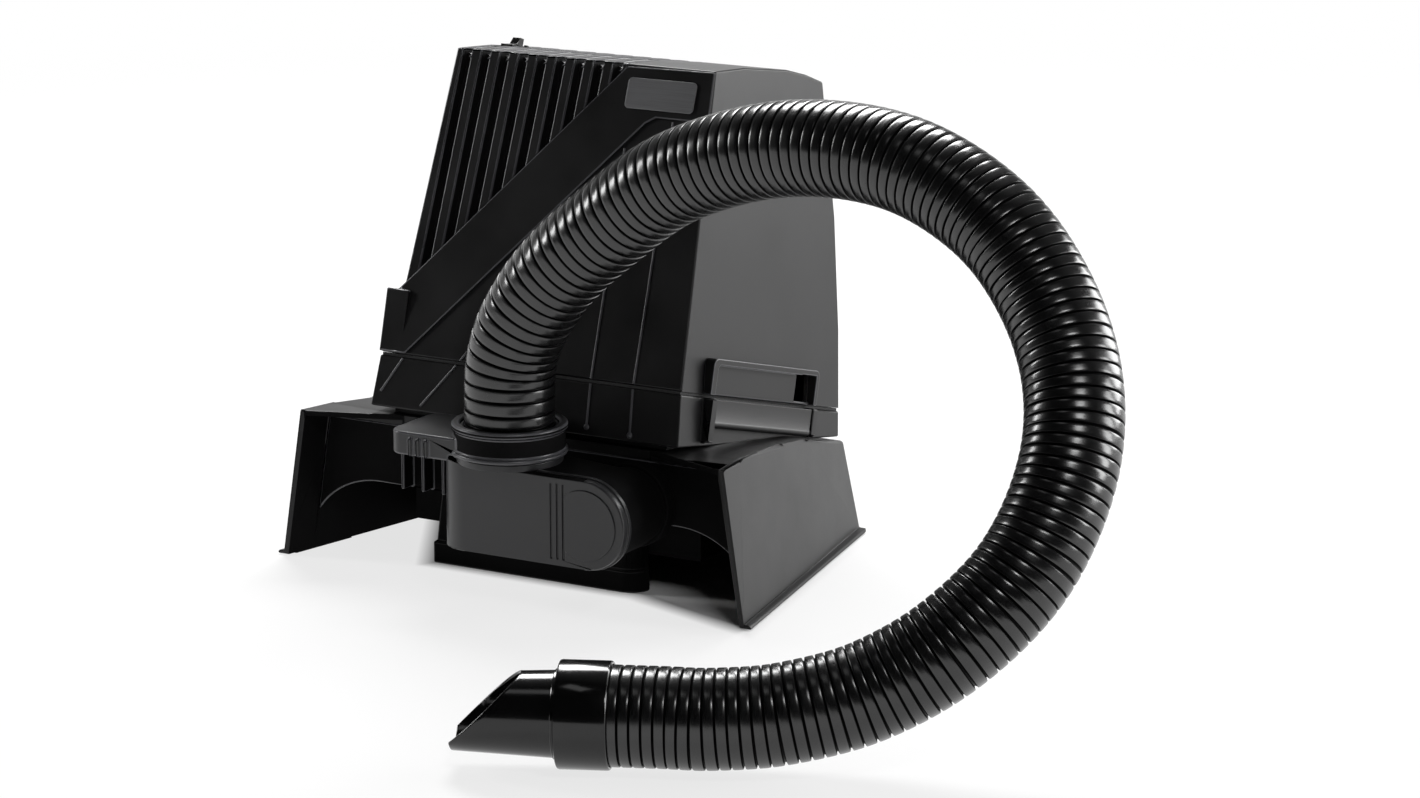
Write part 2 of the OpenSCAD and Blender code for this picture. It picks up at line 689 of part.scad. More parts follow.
// Bead round the right end of the front plate
bead_x = hub_x - waist_x - 3;
bead_y = -133;
bead_t = 3;
bead_h = 1;
module duct_bead() {
    translate([0, bead_y + bead_t, 0]) rotate([90, 0, 0]) linear_extrude(bead_t)
        duct_outline(bead_x, duct_r + bead_h, duct_r + bead_h);
}
module elbow_duct() color("#242426") difference() {
    union() {
        duct_solid(0);
        duct_bead();
        on_hub(hub_back_y) cylinder(h = hub_back_y - duct_back_y + 1, r = hub_r);
    }
    duct_solid(duct_wall);
    on_hub(hub_back_y + 1) cylinder(h = hub_back_y - duct_back_y + duct_wall + 2, r = spigot_r + hub_fit);
    translate([neck_x, neck_y, duct_top_z - 6]) cylinder(h = 10, r = port_r);
    for (x = duct_grooves) translate([hub_x - x, duct_front_y - 1, hub_z - duct_groove_h / 2])
        cube([duct_groove_w, 2, duct_groove_h]);
}
cap_t = 0.8;
cap_r = 22.5;
cap_chord = 14;
duct_grooves = [24.6, 20.2, 15.8];
duct_groove_w = 1.6;
duct_groove_h = 48;
// Raised face over the turning axis, cut straight on its left
module elbow_cap() color("#2a2a2c") on_hub(duct_front_y) intersection() {
    cylinder(h = cap_t, r = cap_r);
    translate([-cap_chord, -40, -1]) cube([80, 80, 10]);
}
module hose_neck() color("#242426") translate([neck_x, neck_y, duct_top_z]) difference() {
    union() {
        cylinder(h = neck_top_z - duct_top_z, r = neck_r);
        cylinder(h = 4.4, r = 33.6);
    }
    translate([0, 0, -1]) cylinder(h = 60, r = bore_r);
    translate([0, 0, neck_seat_z - duct_top_z]) cylinder(h = 60, r = hose_r + 0.35);
}
collar_low = 98;
collar_top = 118;
collar_r = 35;
rim_r = 36.5;
tab_reach = 74;
tab_half_y = 27;
tab_low = duct_top_z + 1;
tab_h = 15;
tab_round = 10;
grip_x = 17.5;
grip_pitch = 6;
grip_h = 11.5;
grip_r = 1.4;
// Flat outline of the grip tab, from the ring outwards
module tab_outline() {
    translate([-tab_reach + tab_round, -tab_half_y]) square([tab_reach - tab_round, 2 * tab_half_y]);
    translate([-tab_reach, -tab_half_y + tab_round]) square([20, 2 * (tab_half_y - tab_round)]);
    for (side = [-1, 1]) translate([-tab_reach + tab_round, side * (tab_half_y - tab_round)])
        circle(r = tab_round);
}
module hose_collar() color("#1b1b1d") translate([neck_x, neck_y, 0]) difference() {
    union() {
        translate([0, 0, collar_low]) cylinder(h = collar_top - collar_low, r = collar_r);
        translate([0, 0, collar_low]) cylinder(h = 3, r = rim_r);
        translate([0, 0, collar_top - 4]) cylinder(h = 4, r = rim_r);
        translate([0, 0, tab_low]) linear_extrude(tab_h) tab_outline();
        // Ribs for the fingers on both faces of the tab
        for (k = [0:2]) for (side = [-1, 1])
            translate([-tab_reach + grip_x + grip_pitch * k, side * tab_half_y, tab_low])
            cylinder(h = grip_h, r = grip_r, $fn = 24);
    }
    translate([0, 0, tab_low - 1]) cylinder(h = 60, r = neck_r + 0.08);
    translate([0, 0, tab_low - 1]) cylinder(h = collar_low - tab_low + 0.8, r = collar_r + 4);
}

// Centre line of the hose, from its seat in the neck to the nozzle on the bench
nozzle_at = [226, -378, 32];
nozzle_turn = 204;
route = [[16, -115, 100], [16, -115, 128], [18, -115, 157], [29, -116, 184], [53, -118, 216], [92, -122, 250],
    [148, -129, 288], [226, -139, 313], [304, -149, 314], [366, -157, 290], [408, -168, 252], [436, -188, 208],
    [446, -214, 162], [437, -246, 114], [410, -278, 76], [372, -304, 49], [332, -329, 36], [297, -347, 32],
    [272, -358, 32], [249, -368, 32], nozzle_at];
steps = 10;
function spline(a, b, c, d, t) = 0.5 * ((2 * b) + (c - a) * t + (2 * a - 5 * b + 4 * c - d) * t * t
    + (3 * b - a - 3 * c + d) * t * t * t);
last = len(route) - 1;
path = concat([for (i = [0:last - 1]) for (k = [0:steps - 1])
    spline(route[max(i - 1, 0)], route[i], route[i + 1], route[min(i + 2, last)], k / steps)], [route[last]]);
function run(p, i = 0, s = 0) = i >= len(p) ? [] : concat([s],
    run(p, i + 1, i + 1 < len(p) ? s + norm(p[i + 1] - p[i]) : s));
lengths = run(path);
hose_length = lengths[len(lengths) - 1];
table = [for (axis = [0:2]) [for (i = [0:len(path) - 1]) [lengths[i], path[i][axis]]]];
function along(s) = [for (axis = [0:2]) lookup(s, table[axis])];
function unit(v) = v / norm(v);
sides = 8;
function ring(s, r) = let (
    t = unit(along(min(s + 4, hose_length)) - along(max(s - 4, 0))),
    u = unit(cross([0, 1, 0], t)),
    w = cross(t, u),
    c = along(s))
    [for (k = [0:sides - 1]) c + r * (u * cos(k * 360 / sides) + w * sin(k * 360 / sides))];
pitch = hose_length / ribs;
outer_rings = concat([ring(0, hose_r)], [for (k = [1:ribs - 1]) each [ring((k - 0.35) * pitch, hose_r),
    ring(k * pitch, groove_r)]], [ring(hose_length - 0.5 * pitch, hose_r), ring(hose_length, hose_r)]);
inner_rings = [for (k = [0:ribs]) ring(k * pitch, bore_r)];
n_out = len(outer_rings);
n_in = len(inner_rings);
function point_of(wall_no, i, k) = (wall_no == 0 ? i : n_out + i) * sides + k % sides;
// Two triangles of each panel between neighbouring rings, turned for the outer or the inner wall
function skin(wall_no, count) = [for (i = [0:count - 2]) for (k = [0:sides - 1]) let (
    a = point_of(wall_no, i, k), b = point_of(wall_no, i, k + 1),
    c = point_of(wall_no, i + 1, k + 1), d = point_of(wall_no, i + 1, k))
    each wall_no == 0 ? [[a, c, b], [a, d, c]] : [[a, b, c], [a, c, d]]];
function end_cap(i_out, i_in, start) = [for (k = [0:sides - 1]) let (
    a = point_of(0, i_out, k), b = point_of(0, i_out, k + 1),
    c = point_of(1, i_in, k + 1), d = point_of(1, i_in, k))
    each start ? [[a, b, c], [a, c, d]] : [[a, c, b], [a, d, c]]];
module hose() color(gloss_black) polyhedron(
    points = [for (r = concat(outer_rings, inner_rings)) each r],
    faces = concat(skin(0, n_out), skin(1, n_in), end_cap(0, 0, true), end_cap(n_out - 1, n_in - 1, false)));
// The nozzle's frame: X along the air way towards the tip
module nozzle_frame() translate(nozzle_at) rotate([0, 0, nozzle_turn]) children();
cuff_r = 30.6;
cuff_back = -20;
cuff_front = 9.5;
socket_r = 22;
module nozzle_cuff() color(gloss_black) nozzle_frame() rotate([0, 90, 0]) difference() {
    translate([0, 0, cuff_back]) cylinder(h = cuff_front - cuff_back, r = cuff_r);
    translate([0, 0, cuff_back - 1]) cylinder(h = 1.3 - cuff_back, r = hose_r + 0.35);
    translate([0, 0, cuff_back - 1]) cylinder(h = 60, r = socket_r);
}
nozzle_x = cuff_front + 0.4;
nozzle_tip_x = 69.5;
nozzle_r = 24.6;
nozzle_tip_r = 22;
nozzle_wall = 2.2;
plug_x = 1;
// Where the slanted mouth begins at the top, and its height at the tip
mouth_x = 29;
mouth_z = -15;
module nozzle() color(gloss_black) nozzle_frame() difference() {
    rotate([0, 90, 0]) {
        translate([0, 0, nozzle_x]) cylinder(h = nozzle_tip_x - nozzle_x, r1 = nozzle_r, r2 = nozzle_tip_r);
        translate([0, 0, nozzle_x]) cylinder(h = 2, r = nozzle_r + 0.8);
        translate([0, 0, plug_x]) cylinder(h = nozzle_x - plug_x + 3, r = socket_r - 0.08);
    }
    rotate([0, 90, 0]) {
        cylinder(h = nozzle_x + 2, r = socket_r - 2.6);
        translate([0, 0, nozzle_x + 2]) cylinder(h = nozzle_tip_x - nozzle_x - 1.9,
            r1 = nozzle_r - nozzle_wall, r2 = nozzle_tip_r - nozzle_wall);
    }
    rotate([90, 0, 0]) translate([0, 0, -60]) linear_extrude(120) polygon([[mouth_x, nozzle_r + 1],
        [nozzle_tip_x + 0.1, mouth_z], [nozzle_tip_x + 40, mouth_z], [nozzle_tip_x + 40, 60], [mouth_x, 60]]);
}

stand_shell();
stand_wall();
front_tray();
rubber_feet();
stand_screws();
intake_plenum();
inlet_spigot();
spigot_flange();
spigot_ring();
lower_housing();
parting_gasket();
prefilter_pad();
filter_frame();
filter_media();
carbon_bed();
left_latch_pin();
right_latch_pin();
left_latch();
right_latch();
upper_housing();
front_fins();
front_band();
badge_plate();
left_grip();
right_grip();
fan_deck();
fan_scroll();
motor_plate();
motor();
motor_shaft();
impeller();
control_board();
rear_panel();
exhaust_grille();
power_inlet();
switch_bezel();
power_switch();
elbow_duct();
elbow_cap();
hose_neck();
hose_collar();
hose();
nozzle_cuff();
nozzle();
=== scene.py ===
"""Bench fume extractor: soft-edged mouldings, ribbed hose, scoop nozzle, fine front trim and the studio."""

import math

import bmesh
import bpy
import numpy as np
from bpy.props import FloatProperty, FloatVectorProperty, IntProperty, PointerProperty
from bpy.types import Operator, Panel, PropertyGroup
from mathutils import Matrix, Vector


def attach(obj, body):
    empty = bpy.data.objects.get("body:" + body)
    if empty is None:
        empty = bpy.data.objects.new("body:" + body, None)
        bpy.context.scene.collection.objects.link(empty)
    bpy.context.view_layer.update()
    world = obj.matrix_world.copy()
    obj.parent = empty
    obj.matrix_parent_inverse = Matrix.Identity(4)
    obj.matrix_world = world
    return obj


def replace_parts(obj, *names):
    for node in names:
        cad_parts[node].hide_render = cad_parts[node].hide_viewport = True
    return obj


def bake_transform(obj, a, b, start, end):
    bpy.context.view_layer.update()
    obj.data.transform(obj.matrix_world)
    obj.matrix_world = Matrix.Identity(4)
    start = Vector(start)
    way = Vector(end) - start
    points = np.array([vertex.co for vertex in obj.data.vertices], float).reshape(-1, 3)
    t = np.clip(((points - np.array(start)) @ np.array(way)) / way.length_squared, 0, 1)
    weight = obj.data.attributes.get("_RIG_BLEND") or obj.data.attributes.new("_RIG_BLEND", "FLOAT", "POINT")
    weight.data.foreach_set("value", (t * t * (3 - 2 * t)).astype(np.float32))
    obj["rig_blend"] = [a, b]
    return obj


bl_info = {
    "name": "Bench Fume Extractor",
    "version": (1, 0, 0),
    "blender": (4, 5, 0),
    "location": "3D View > Sidebar > Fume Extractor",
    "description": "Dresses the fume extractor's solids and builds its hose, nozzle, trim and studio",
    "category": "Object",
}

MM = 0.001
FINISH = "finish_"
WELD = 0.01 * MM
# Edges that leave a corner closer together than this stay sharp, because their rounded strips would cross
NARROW = math.radians(12)
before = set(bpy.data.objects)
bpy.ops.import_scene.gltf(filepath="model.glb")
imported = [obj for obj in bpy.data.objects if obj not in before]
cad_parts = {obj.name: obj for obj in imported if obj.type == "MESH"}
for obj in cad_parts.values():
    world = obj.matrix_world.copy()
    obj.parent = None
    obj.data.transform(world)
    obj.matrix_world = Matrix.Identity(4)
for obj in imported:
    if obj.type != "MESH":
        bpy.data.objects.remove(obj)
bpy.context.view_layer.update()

LEAN = math.radians(14.7)
FRONT_LEAN = math.atan2(20.5, 202.4)
PART_LINE = np.array([0.0, -68.0, 137.4])
NOZZLE_AT = np.array([226.0, -378.0, 32.0])
NOZZLE_TURN = math.radians(204)
HOSE_ROUTE = np.array([
    [16, -115, 100], [16, -115, 128], [18, -115, 157], [29, -116, 184], [53, -118, 216],
    [92, -122, 250], [148, -129, 288], [226, -139, 313], [304, -149, 314], [366, -157, 290],
    [408, -168, 252], [436, -188, 208], [446, -214, 162], [437, -246, 114], [410, -278, 76],
    [372, -304, 49], [332, -329, 36], [297, -347, 32], [272, -358, 32], [249, -368, 32],
    [226, -378, 32]], float)
HOSE_BORE = 24.0
# Distance along the hose and rib pitch there: stretched near the elbow, closest over the top
RIB_PITCH = np.array([
    [0, 8.8], [110, 8.7], [190, 8.1], [250, 7.9], [310, 7.5], [370, 7.2],
    [430, 6.6], [490, 6.45], [550, 6.85], [900, 6.7], [980, 6.5]])
# Elbow, in metres: its turning axis, its front face with half height and left end, and the plate's back,
# behind which the duct takes painted shade
HUB_X, HUB_Z = 0.084, 0.0645
FACE_Y, FACE_HALF, FACE_LEFT = -0.137, 0.0272, -0.015
PLATE_BACK = -0.1299
# Collar, in metres: its middle, and the reach and half height of its round wall, which takes painted shade
COLLAR_AT = (0.016, -0.115, 0.108)
COLLAR_WALL, COLLAR_HALF = 0.0375, 0.0082
# The unit's low back: depth 1 mm above the parting plane, and how far it draws in with height
LOW_BACK, LOW_BACK_SLOPE = 214.6, 6.5 / 51.5
# Camera: aim and distance in mm, turn and rise of the view, lens in mm
VIEW_AIM, VIEW_AWAY = np.array([72.2, 38.0, 106.6]), 2844
VIEW_TURN, VIEW_RISE = math.radians(29.93), math.radians(13.57)
VIEW_LENS = 111.3


class FumeSizes(PropertyGroup):
    """Sizes that shape the dressed pieces"""

    shell_edge: FloatProperty(name="Shell edge", description="Rounding along the housing and stand edges",
                              default=1.3 * MM, min=0.0002, max=0.004, unit="LENGTH")
    elbow_edge: FloatProperty(name="Elbow edge", description="Rounding round the face of the elbow duct",
                              default=1.2 * MM, min=0.001, max=0.008, unit="LENGTH")
    trim_edge: FloatProperty(name="Trim edge", description="Rounding along fins, band, grips and latches",
                             default=0.6 * MM, min=0.0001, max=0.002, unit="LENGTH")
    hose_radius: FloatProperty(name="Hose radius", description="Radius over the hose ribs",
                               default=28.5 * MM, min=0.02, max=0.03, unit="LENGTH")
    groove_depth: FloatProperty(name="Groove depth", description="Depth of the grooves between hose ribs",
                                default=2.1 * MM, min=0.001, max=0.004, unit="LENGTH")
    hose_ribs: IntProperty(name="Hose ribs", description="Number of ribs along the hose",
                           default=136, min=60, max=160)
    trim_line: FloatProperty(name="Trim line", description="Width of the raised lines on the front",
                             default=1.6 * MM, min=0.0005, max=0.004, unit="LENGTH")


class FumeColours(PropertyGroup):
    """Colours of the finishes"""

    body: FloatVectorProperty(name="Body", description="Grained black plastic of housing and stand",
                              default=(0.0092, 0.0090, 0.0094), subtype="COLOR", min=0, max=1)
    elbow: FloatVectorProperty(name="Elbow", description="Satin plastic of the elbow and collar",
                               default=(0.0165, 0.0165, 0.018), subtype="COLOR", min=0, max=1)
    hose: FloatVectorProperty(name="Hose", description="Glossy plastic of the hose and nozzle",
                              default=(0.0036, 0.0036, 0.0038), subtype="COLOR", min=0, max=1)
    badge: FloatVectorProperty(name="Badge plate", description="Bare plate at the top of the front",
                               default=(0.18, 0.181, 0.187), subtype="COLOR", min=0, max=1)
    floor: FloatVectorProperty(name="Floor", description="Pale studio floor",
                               default=(0.9, 0.9, 0.9), subtype="COLOR", min=0, max=1)


def sizes():
    """The scene's sizes."""
    return bpy.context.scene.fume_sizes


def colours():
    """The scene's colours."""
    return bpy.context.scene.fume_colours


def start_material(name):
    """A new node material: its tree, its shader and the object coordinates that patterns read."""
    material = bpy.data.materials.new(FINISH + name)
    material.use_nodes = True
    tree = material.node_tree
    shader = tree.nodes["Principled BSDF"]
    place = tree.nodes.new("ShaderNodeTexCoord")
    return material, tree, shader, place.outputs["Object"]


def add_noise(tree, where, scale, detail=3.0, roughness=0.55):
    """Noise pattern read at the coordinates given; returns its grey value."""
    noise = tree.nodes.new("ShaderNodeTexNoise")
    noise.inputs["Scale"].default_value = scale
    noise.inputs["Detail"].default_value = detail
    noise.inputs["Roughness"].default_value = roughness
    tree.links.new(where, noise.inputs["Vector"])
    return noise.outputs["Fac"]


def spread(tree, value, low, high, from_low=0.3, from_high=0.7):
    """Stretches a grey pattern from its usual range to the range given."""
    ramp = tree.nodes.new("ShaderNodeMapRange")
    ramp.inputs["From Min"].default_value = from_low
    ramp.inputs["From Max"].default_value = from_high
    ramp.inputs["To Min"].default_value = low
    ramp.inputs["To Max"].default_value = high
    tree.links.new(value, ramp.inputs["Value"])
    return ramp.outputs["Result"]


def two_tone(tree, value, dark, light):
    """Colour between two shades, chosen by a grey pattern."""
    mix = tree.nodes.new("ShaderNodeMix")
    mix.data_type = "RGBA"
    mix.inputs["A"].default_value = (*dark, 1)
    mix.inputs["B"].default_value = (*light, 1)
    tree.links.new(value, mix.inputs["Factor"])
    return mix.outputs["Result"]


def add_bump(tree, shader, height, strength, distance):
    """Bump on the shader from a height pattern, distance in metres."""
    bump = tree.nodes.new("ShaderNodeBump")
    bump.inputs["Strength"].default_value = strength
    bump.inputs["Distance"].default_value = distance
    tree.links.new(height, bump.inputs["Height"])
    tree.links.new(bump.outputs["Normal"], shader.inputs["Normal"])


def joined(tree, operation, first, second):
    """Sum, product or the like of an output and a second output or plain number, from a Math node."""
    node = tree.nodes.new("ShaderNodeMath")
    node.operation = operation
    tree.links.new(first, node.inputs[0])
    if isinstance(second, float):
        node.inputs[1].default_value = second
    else:
        tree.links.new(second, node.inputs[1])
    return node.outputs["Value"]


def drawn_lines(tree, place, scale, detail):
    """Noise drawn out into lines by a different scale along each axis."""
    stretch = tree.nodes.new("ShaderNodeMapping")
    stretch.inputs["Scale"].default_value = scale
    tree.links.new(place, stretch.inputs["Vector"])
    return add_noise(tree, stretch.outputs["Vector"], 1.0, detail)


def made(name):
    """A material that an earlier piece has made."""
    return bpy.data.materials[FINISH + name]


def shade(colour, factor):
    """A colour made darker or lighter by a factor."""
    return tuple(min(1.0, c * factor) for c in colour)


def moulded(name, colour, roughness, specular, grain, depth, vary=0.18, coat=0.0):
    """Moulded plastic: fine spark-eroded grain, broad cloudy change of shade and gloss that wanders."""
    material, tree, shader, place = start_material(name)
    fine = add_noise(tree, place, 1 / (grain * MM), 2.0, 0.6)
    broad = add_noise(tree, place, 22, 4.0)
    base = two_tone(tree, spread(tree, broad, 0, 1), shade(colour, 1 - vary), shade(colour, 1 + vary))
    tree.links.new(base, shader.inputs["Base Color"])
    tree.links.new(spread(tree, broad, roughness - 0.04, roughness + 0.05), shader.inputs["Roughness"])
    shader.inputs["Specular IOR Level"].default_value = specular
    shader.inputs["Coat Weight"].default_value = coat
    shader.inputs["Coat Roughness"].default_value = 0.12
    add_bump(tree, shader, fine, 0.5, depth * MM)
    return material


def body_plastic():
    return moulded("body_plastic", colours().body, 0.38, 0.25, 0.9, 0.07)


# Painted shade: a darker, duller copy of the body plastic for inner faces, undersides and parts in recesses,
# where shade falls
def painted_shade_plastic():
    return moulded("painted_shade_plastic", shade(colours().body, 0.5), 0.68, 0.05, 0.9, 0.05)


def elbow_plastic():
    return moulded("elbow_plastic", colours().elbow, 0.36, 0.5, 0.7, 0.03)


# Painted highlight: a lighter copy of the elbow plastic for rounded edge strips and raised front lines,
# standing in for the highlights along them
def painted_highlight_plastic():
    return moulded("painted_highlight_plastic", shade(colours().elbow, 4.2), 0.3, 0.5, 0.7, 0.02)


def gloss_plastic():
    return moulded("gloss_plastic", colours().hose, 0.13, 0.45, 2.5, 0.015, 0.2, 0.1)


def badge_finish():
    """Bare badge plate: finely brushed dark grey, the strokes running across it."""
    material, tree, shader, place = start_material("badge_plastic")
    strokes = drawn_lines(tree, place, (30, 2600, 2600), 3.0)
    base = two_tone(tree, strokes, shade(colours().badge, 0.75), shade(colours().badge, 1.3))
    tree.links.new(base, shader.inputs["Base Color"])
    tree.links.new(spread(tree, strokes, 0.3, 0.46), shader.inputs["Roughness"])
    shader.inputs["Metallic"].default_value = 0.25
    add_bump(tree, shader, strokes, 0.25, 0.03 * MM)
    return material


def hose_plastic():
    """Hose: glossy rib tops and duller grooves whose darker colour is painted shade, from the map's U that
    counts ribs along the hose.
    """
    material, tree, shader, place = start_material("hose_plastic")
    shape = tree.nodes.new("ShaderNodeUVMap")
    shape.uv_map = "ribs"
    split = tree.nodes.new("ShaderNodeSeparateXYZ")
    tree.links.new(shape.outputs["UV"], split.inputs["Vector"])
    from_groove = joined(tree, "PINGPONG", split.outputs["X"], 0.5)
    top = spread(tree, from_groove, 0, 1, 0.08, 0.14)
    dust = add_noise(tree, place, 60, 4.0)
    # Painted shade: the grooves take a darker colour than the rib tops
    base = two_tone(tree, top, shade(colours().hose, 0.45), shade(colours().hose, 1.1))
    tree.links.new(base, shader.inputs["Base Color"])
    sheen = joined(tree, "SUBTRACT", spread(tree, dust, 0.4, 0.48), spread(tree, top, 0.0, 0.2, 0, 1))
    tree.links.new(sheen, shader.inputs["Roughness"])
    tree.links.new(spread(tree, top, 0.12, 0.75, 0, 1), shader.inputs["Specular IOR Level"])
    add_bump(tree, shader, add_noise(tree, place, 900, 2.0), 0.15, 0.03 * MM)
    return material


def speckled(name, dark, light, scale, roughness, metallic, strength, distance):
    """Two-shade grain for foam, rubber, card, carbon and cast metal."""
    material, tree, shader, place = start_material(name)
    grain = add_noise(tree, place, scale, 4.0, 0.65)
    tree.links.new(two_tone(tree, spread(tree, grain, 0, 1), dark, light), shader.inputs["Base Color"])
    tree.links.new(spread(tree, grain, roughness - 0.07, roughness + 0.07), shader.inputs["Roughness"])
    shader.inputs["Metallic"].default_value = metallic
    add_bump(tree, shader, grain, strength, distance * MM)
    return material


def turned_metal(name, dark, light, roughness):
    """Bright metal with fine drawn lines and a little change of gloss."""
    material, tree, shader, place = start_material(name)
    lines = drawn_lines(tree, place, (900, 60, 900), 4.0)
    tree.links.new(two_tone(tree, lines, dark, light), shader.inputs["Base Color"])
    tree.links.new(spread(tree, lines, roughness - 0.06, roughness + 0.08), shader.inputs["Roughness"])
    shader.inputs["Metallic"].default_value = 1.0
    add_bump(tree, shader, lines, 0.15, 0.02 * MM)
    return material


def smooth_by_angle(mesh, degrees=32):
    """Smooth shading, with every edge sharper than the angle kept as a crease."""
    mesh.polygons.foreach_set("use_smooth", np.ones(len(mesh.polygons), bool))
    mesh.set_sharp_from_angle(angle=math.radians(degrees))
    mesh.update()


def finish_piece(mesh, name, body, material):
    """Puts a finished mesh into the scene at the origin, on its body."""
    obj = bpy.data.objects.new(name, mesh)
    bpy.context.scene.collection.objects.link(obj)
    mesh.materials.clear()
    mesh.materials.append(material)
    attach(obj, body)
    return obj


def crowded(edge):
    """True where another edge leaves one end of this edge at a narrow angle to it."""
    for end in edge.verts:
        along = edge.other_vert(end).co - end.co
        if any(along.angle(other.other_vert(end).co - end.co) < NARROW
               for other in end.link_edges if other != edge):
            return True
    return False


def soft_edged(node, body, material, width, segments=3, angle=34, wide=0.0, is_wide=None, rim=None):
    """A node's own solid with its triangles joined, flats merged and a rounded strip along each sharp edge.
    Outer edges that is_wide picks by the normals of their two faces and their middle get the wide strip.
    The strips take the rim material where there is one, mostly a lighter plastic that is a painted highlight
    along the edges."""
    work = bmesh.new()
    work.from_mesh(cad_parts[node].data)
    bmesh.ops.remove_doubles(work, verts=work.verts, dist=WELD)
    bmesh.ops.dissolve_degenerate(work, edges=work.edges, dist=WELD)
    bmesh.ops.dissolve_limit(work, angle_limit=math.radians(0.4), verts=work.verts, edges=work.edges)
    widest = max(width, wide)
    weight = work.edges.layers.float.new("bevel_weight_edge")
    for edge in work.edges:
        sharp = len(edge.link_faces) == 2 and edge.calc_face_angle() > math.radians(angle)
        if sharp and not crowded(edge):
            first, second = (face.normal for face in edge.link_faces)
            middle = (edge.verts[0].co + edge.verts[1].co) / 2
            picked = is_wide is not None and edge.is_convex and (
                is_wide(first, second, middle) or is_wide(second, first, middle))
            edge[weight] = (wide if picked else width) / widest
    mesh = bpy.data.meshes.new(node + "_soft")
    work.to_mesh(mesh)
    work.free()
    for layer in list(mesh.attributes):
        if layer.name == "custom_normal":
            mesh.attributes.remove(layer)
    smooth_by_angle(mesh)
    obj = finish_piece(mesh, node + "_soft", body, material)
    strip = obj.modifiers.new("rounded_edge", "BEVEL")
    strip.width = widest
    strip.segments = segments
    strip.limit_method = "WEIGHT"
    strip.use_clamp_overlap = False
    strip.harden_normals = True
    strip.miter_outer = "MITER_ARC"
    if rim is not None:
        mesh.materials.append(rim)
        strip.material = 1
    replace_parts(obj, node)
    return obj


def outer_edges(first, second, middle):
    """Picks every outer edge, so that a piece that turns in another gains nothing in its inner corners."""
    return True


def faces_of(mesh):
    """Middle and normal of every face, one row each."""
    middles, normals = np.empty((2, 3 * len(mesh.polygons)), np.float32)
    mesh.polygons.foreach_get("center", middles)
    mesh.polygons.foreach_get("normal", normals)
    return middles.reshape(-1, 3), normals.reshape(-1, 3)


def second_finish(mesh, material, chosen):
    """Gives the chosen faces one more material."""
    mesh.materials.append(material)
    index = np.where(chosen, len(mesh.materials) - 1, 0)
    mesh.polygons.foreach_set("material_index", index.astype(np.int32))


def paint(node, material):
    """Gives a carried-over solid its finish."""
    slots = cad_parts[node].data.materials
    slots.clear()
    slots.append(material)


def grid_mesh(name, points, wrap_rows=False, wrap_cols=True, uv=None):
    """Mesh from a grid of points in mm: four neighbours make a face, and wrap joins the last row or column
    to the first."""
    rows, cols = points.shape[:2]
    index = np.arange(rows * cols).reshape(rows, cols)
    down = np.roll(index, -1, axis=0) if wrap_rows else index[1:]
    near = index if wrap_rows else index[:-1]
    if wrap_cols:
        quads = np.stack([near, np.roll(near, -1, 1), np.roll(down, -1, 1), down], -1)
    else:
        quads = np.stack([near[:, :-1], near[:, 1:], down[:, 1:], down[:, :-1]], -1)
    mesh = bpy.data.meshes.new(name)
    mesh.from_pydata((points.reshape(-1, 3) * MM).tolist(), [], quads.reshape(-1, 4).tolist())
    if uv is not None:
        corners = np.zeros(len(mesh.loops), np.int32)
        mesh.loops.foreach_get("vertex_index", corners)
        layer = mesh.uv_layers.new(name="ribs")
        layer.data.foreach_set("uv", uv.reshape(-1, 2)[corners].astype(np.float32).ravel())
    work = bmesh.new()
    work.from_mesh(mesh)
    bmesh.ops.remove_doubles(work, verts=work.verts, dist=1e-6)
    bmesh.ops.recalc_face_normals(work, faces=work.faces)
    work.to_mesh(mesh)
    work.free()
    smooth_by_angle(mesh)
    return mesh


def unit_to_bench(points):
    """Unit frame to bench frame: turn by the lean about X, then move to the parting line."""
    y = points[..., 1] * math.cos(LEAN) + points[..., 2] * math.sin(LEAN)
    z = points[..., 2] * math.cos(LEAN) - points[..., 1] * math.sin(LEAN)
    return np.stack([points[..., 0], y, z], -1) + PART_LINE


def front_to_bench(across, up, out):
    """A place on the leaning front face: across, up the face and out of it."""
    y = up * math.sin(FRONT_LEAN) - out * math.cos(FRONT_LEAN)
    z = up * math.cos(FRONT_LEAN) + out * math.sin(FRONT_LEAN)
    return unit_to_bench(np.stack([across, y, z], -1))


def low_front(across, up):
    """A place on the upright front of the lower housing."""
    return unit_to_bench(np.stack([across, np.zeros_like(across), up], -1))


def back_to_bench(across, out, up, middle, lean):
    """A place on a leaning flat of the back: across, out of it and up it, about its middle's depth and
    height."""
    y = middle[0] + out * math.cos(lean) - up * math.sin(lean)
    z = middle[1] + out * math.sin(lean) + up * math.cos(lean)
    return unit_to_bench(np.stack([across, y, z], -1))


def on_route(corners, count):
    """Evenly spread places along a line of corners, as separate coordinate arrays."""
    corners = np.asarray(corners, float)
    points, _ = at_lengths(np.pad(corners, ((0, 0), (0, 1))),
                           np.linspace(0, np.sum(np.linalg.norm(np.diff(corners, axis=0), axis=1)), count))
    return points[:, 0], points[:, 1]


def along_spline(route, steps):
    """Catmull-Rom curve through the route: on each span the cubic of its four nearest points, sampled
    evenly in t."""
    before = np.vstack([route[:1], route[:-2]])
    after = np.vstack([route[2:], route[-1:]])
    a, b, c, d = (p[:, None, :] for p in (before, route[:-1], route[1:], after))
    t = (np.arange(steps) / steps)[None, :, None]
    spans = 0.5 * (2 * b + (c - a) * t + (2 * a - 5 * b + 4 * c - d) * t ** 2
                   + (3 * b - a - 3 * c + d) * t ** 3)
    return np.vstack([spans.reshape(-1, 3), route[-1:]])


def at_lengths(path, places):
    """Points at the distances given along a path, and the path's whole length."""
    run = np.concatenate([[0], np.cumsum(np.linalg.norm(np.diff(path, axis=0), axis=1))])
    return np.stack([np.interp(places, run, path[:, axis]) for axis in range(3)], -1), run[-1]


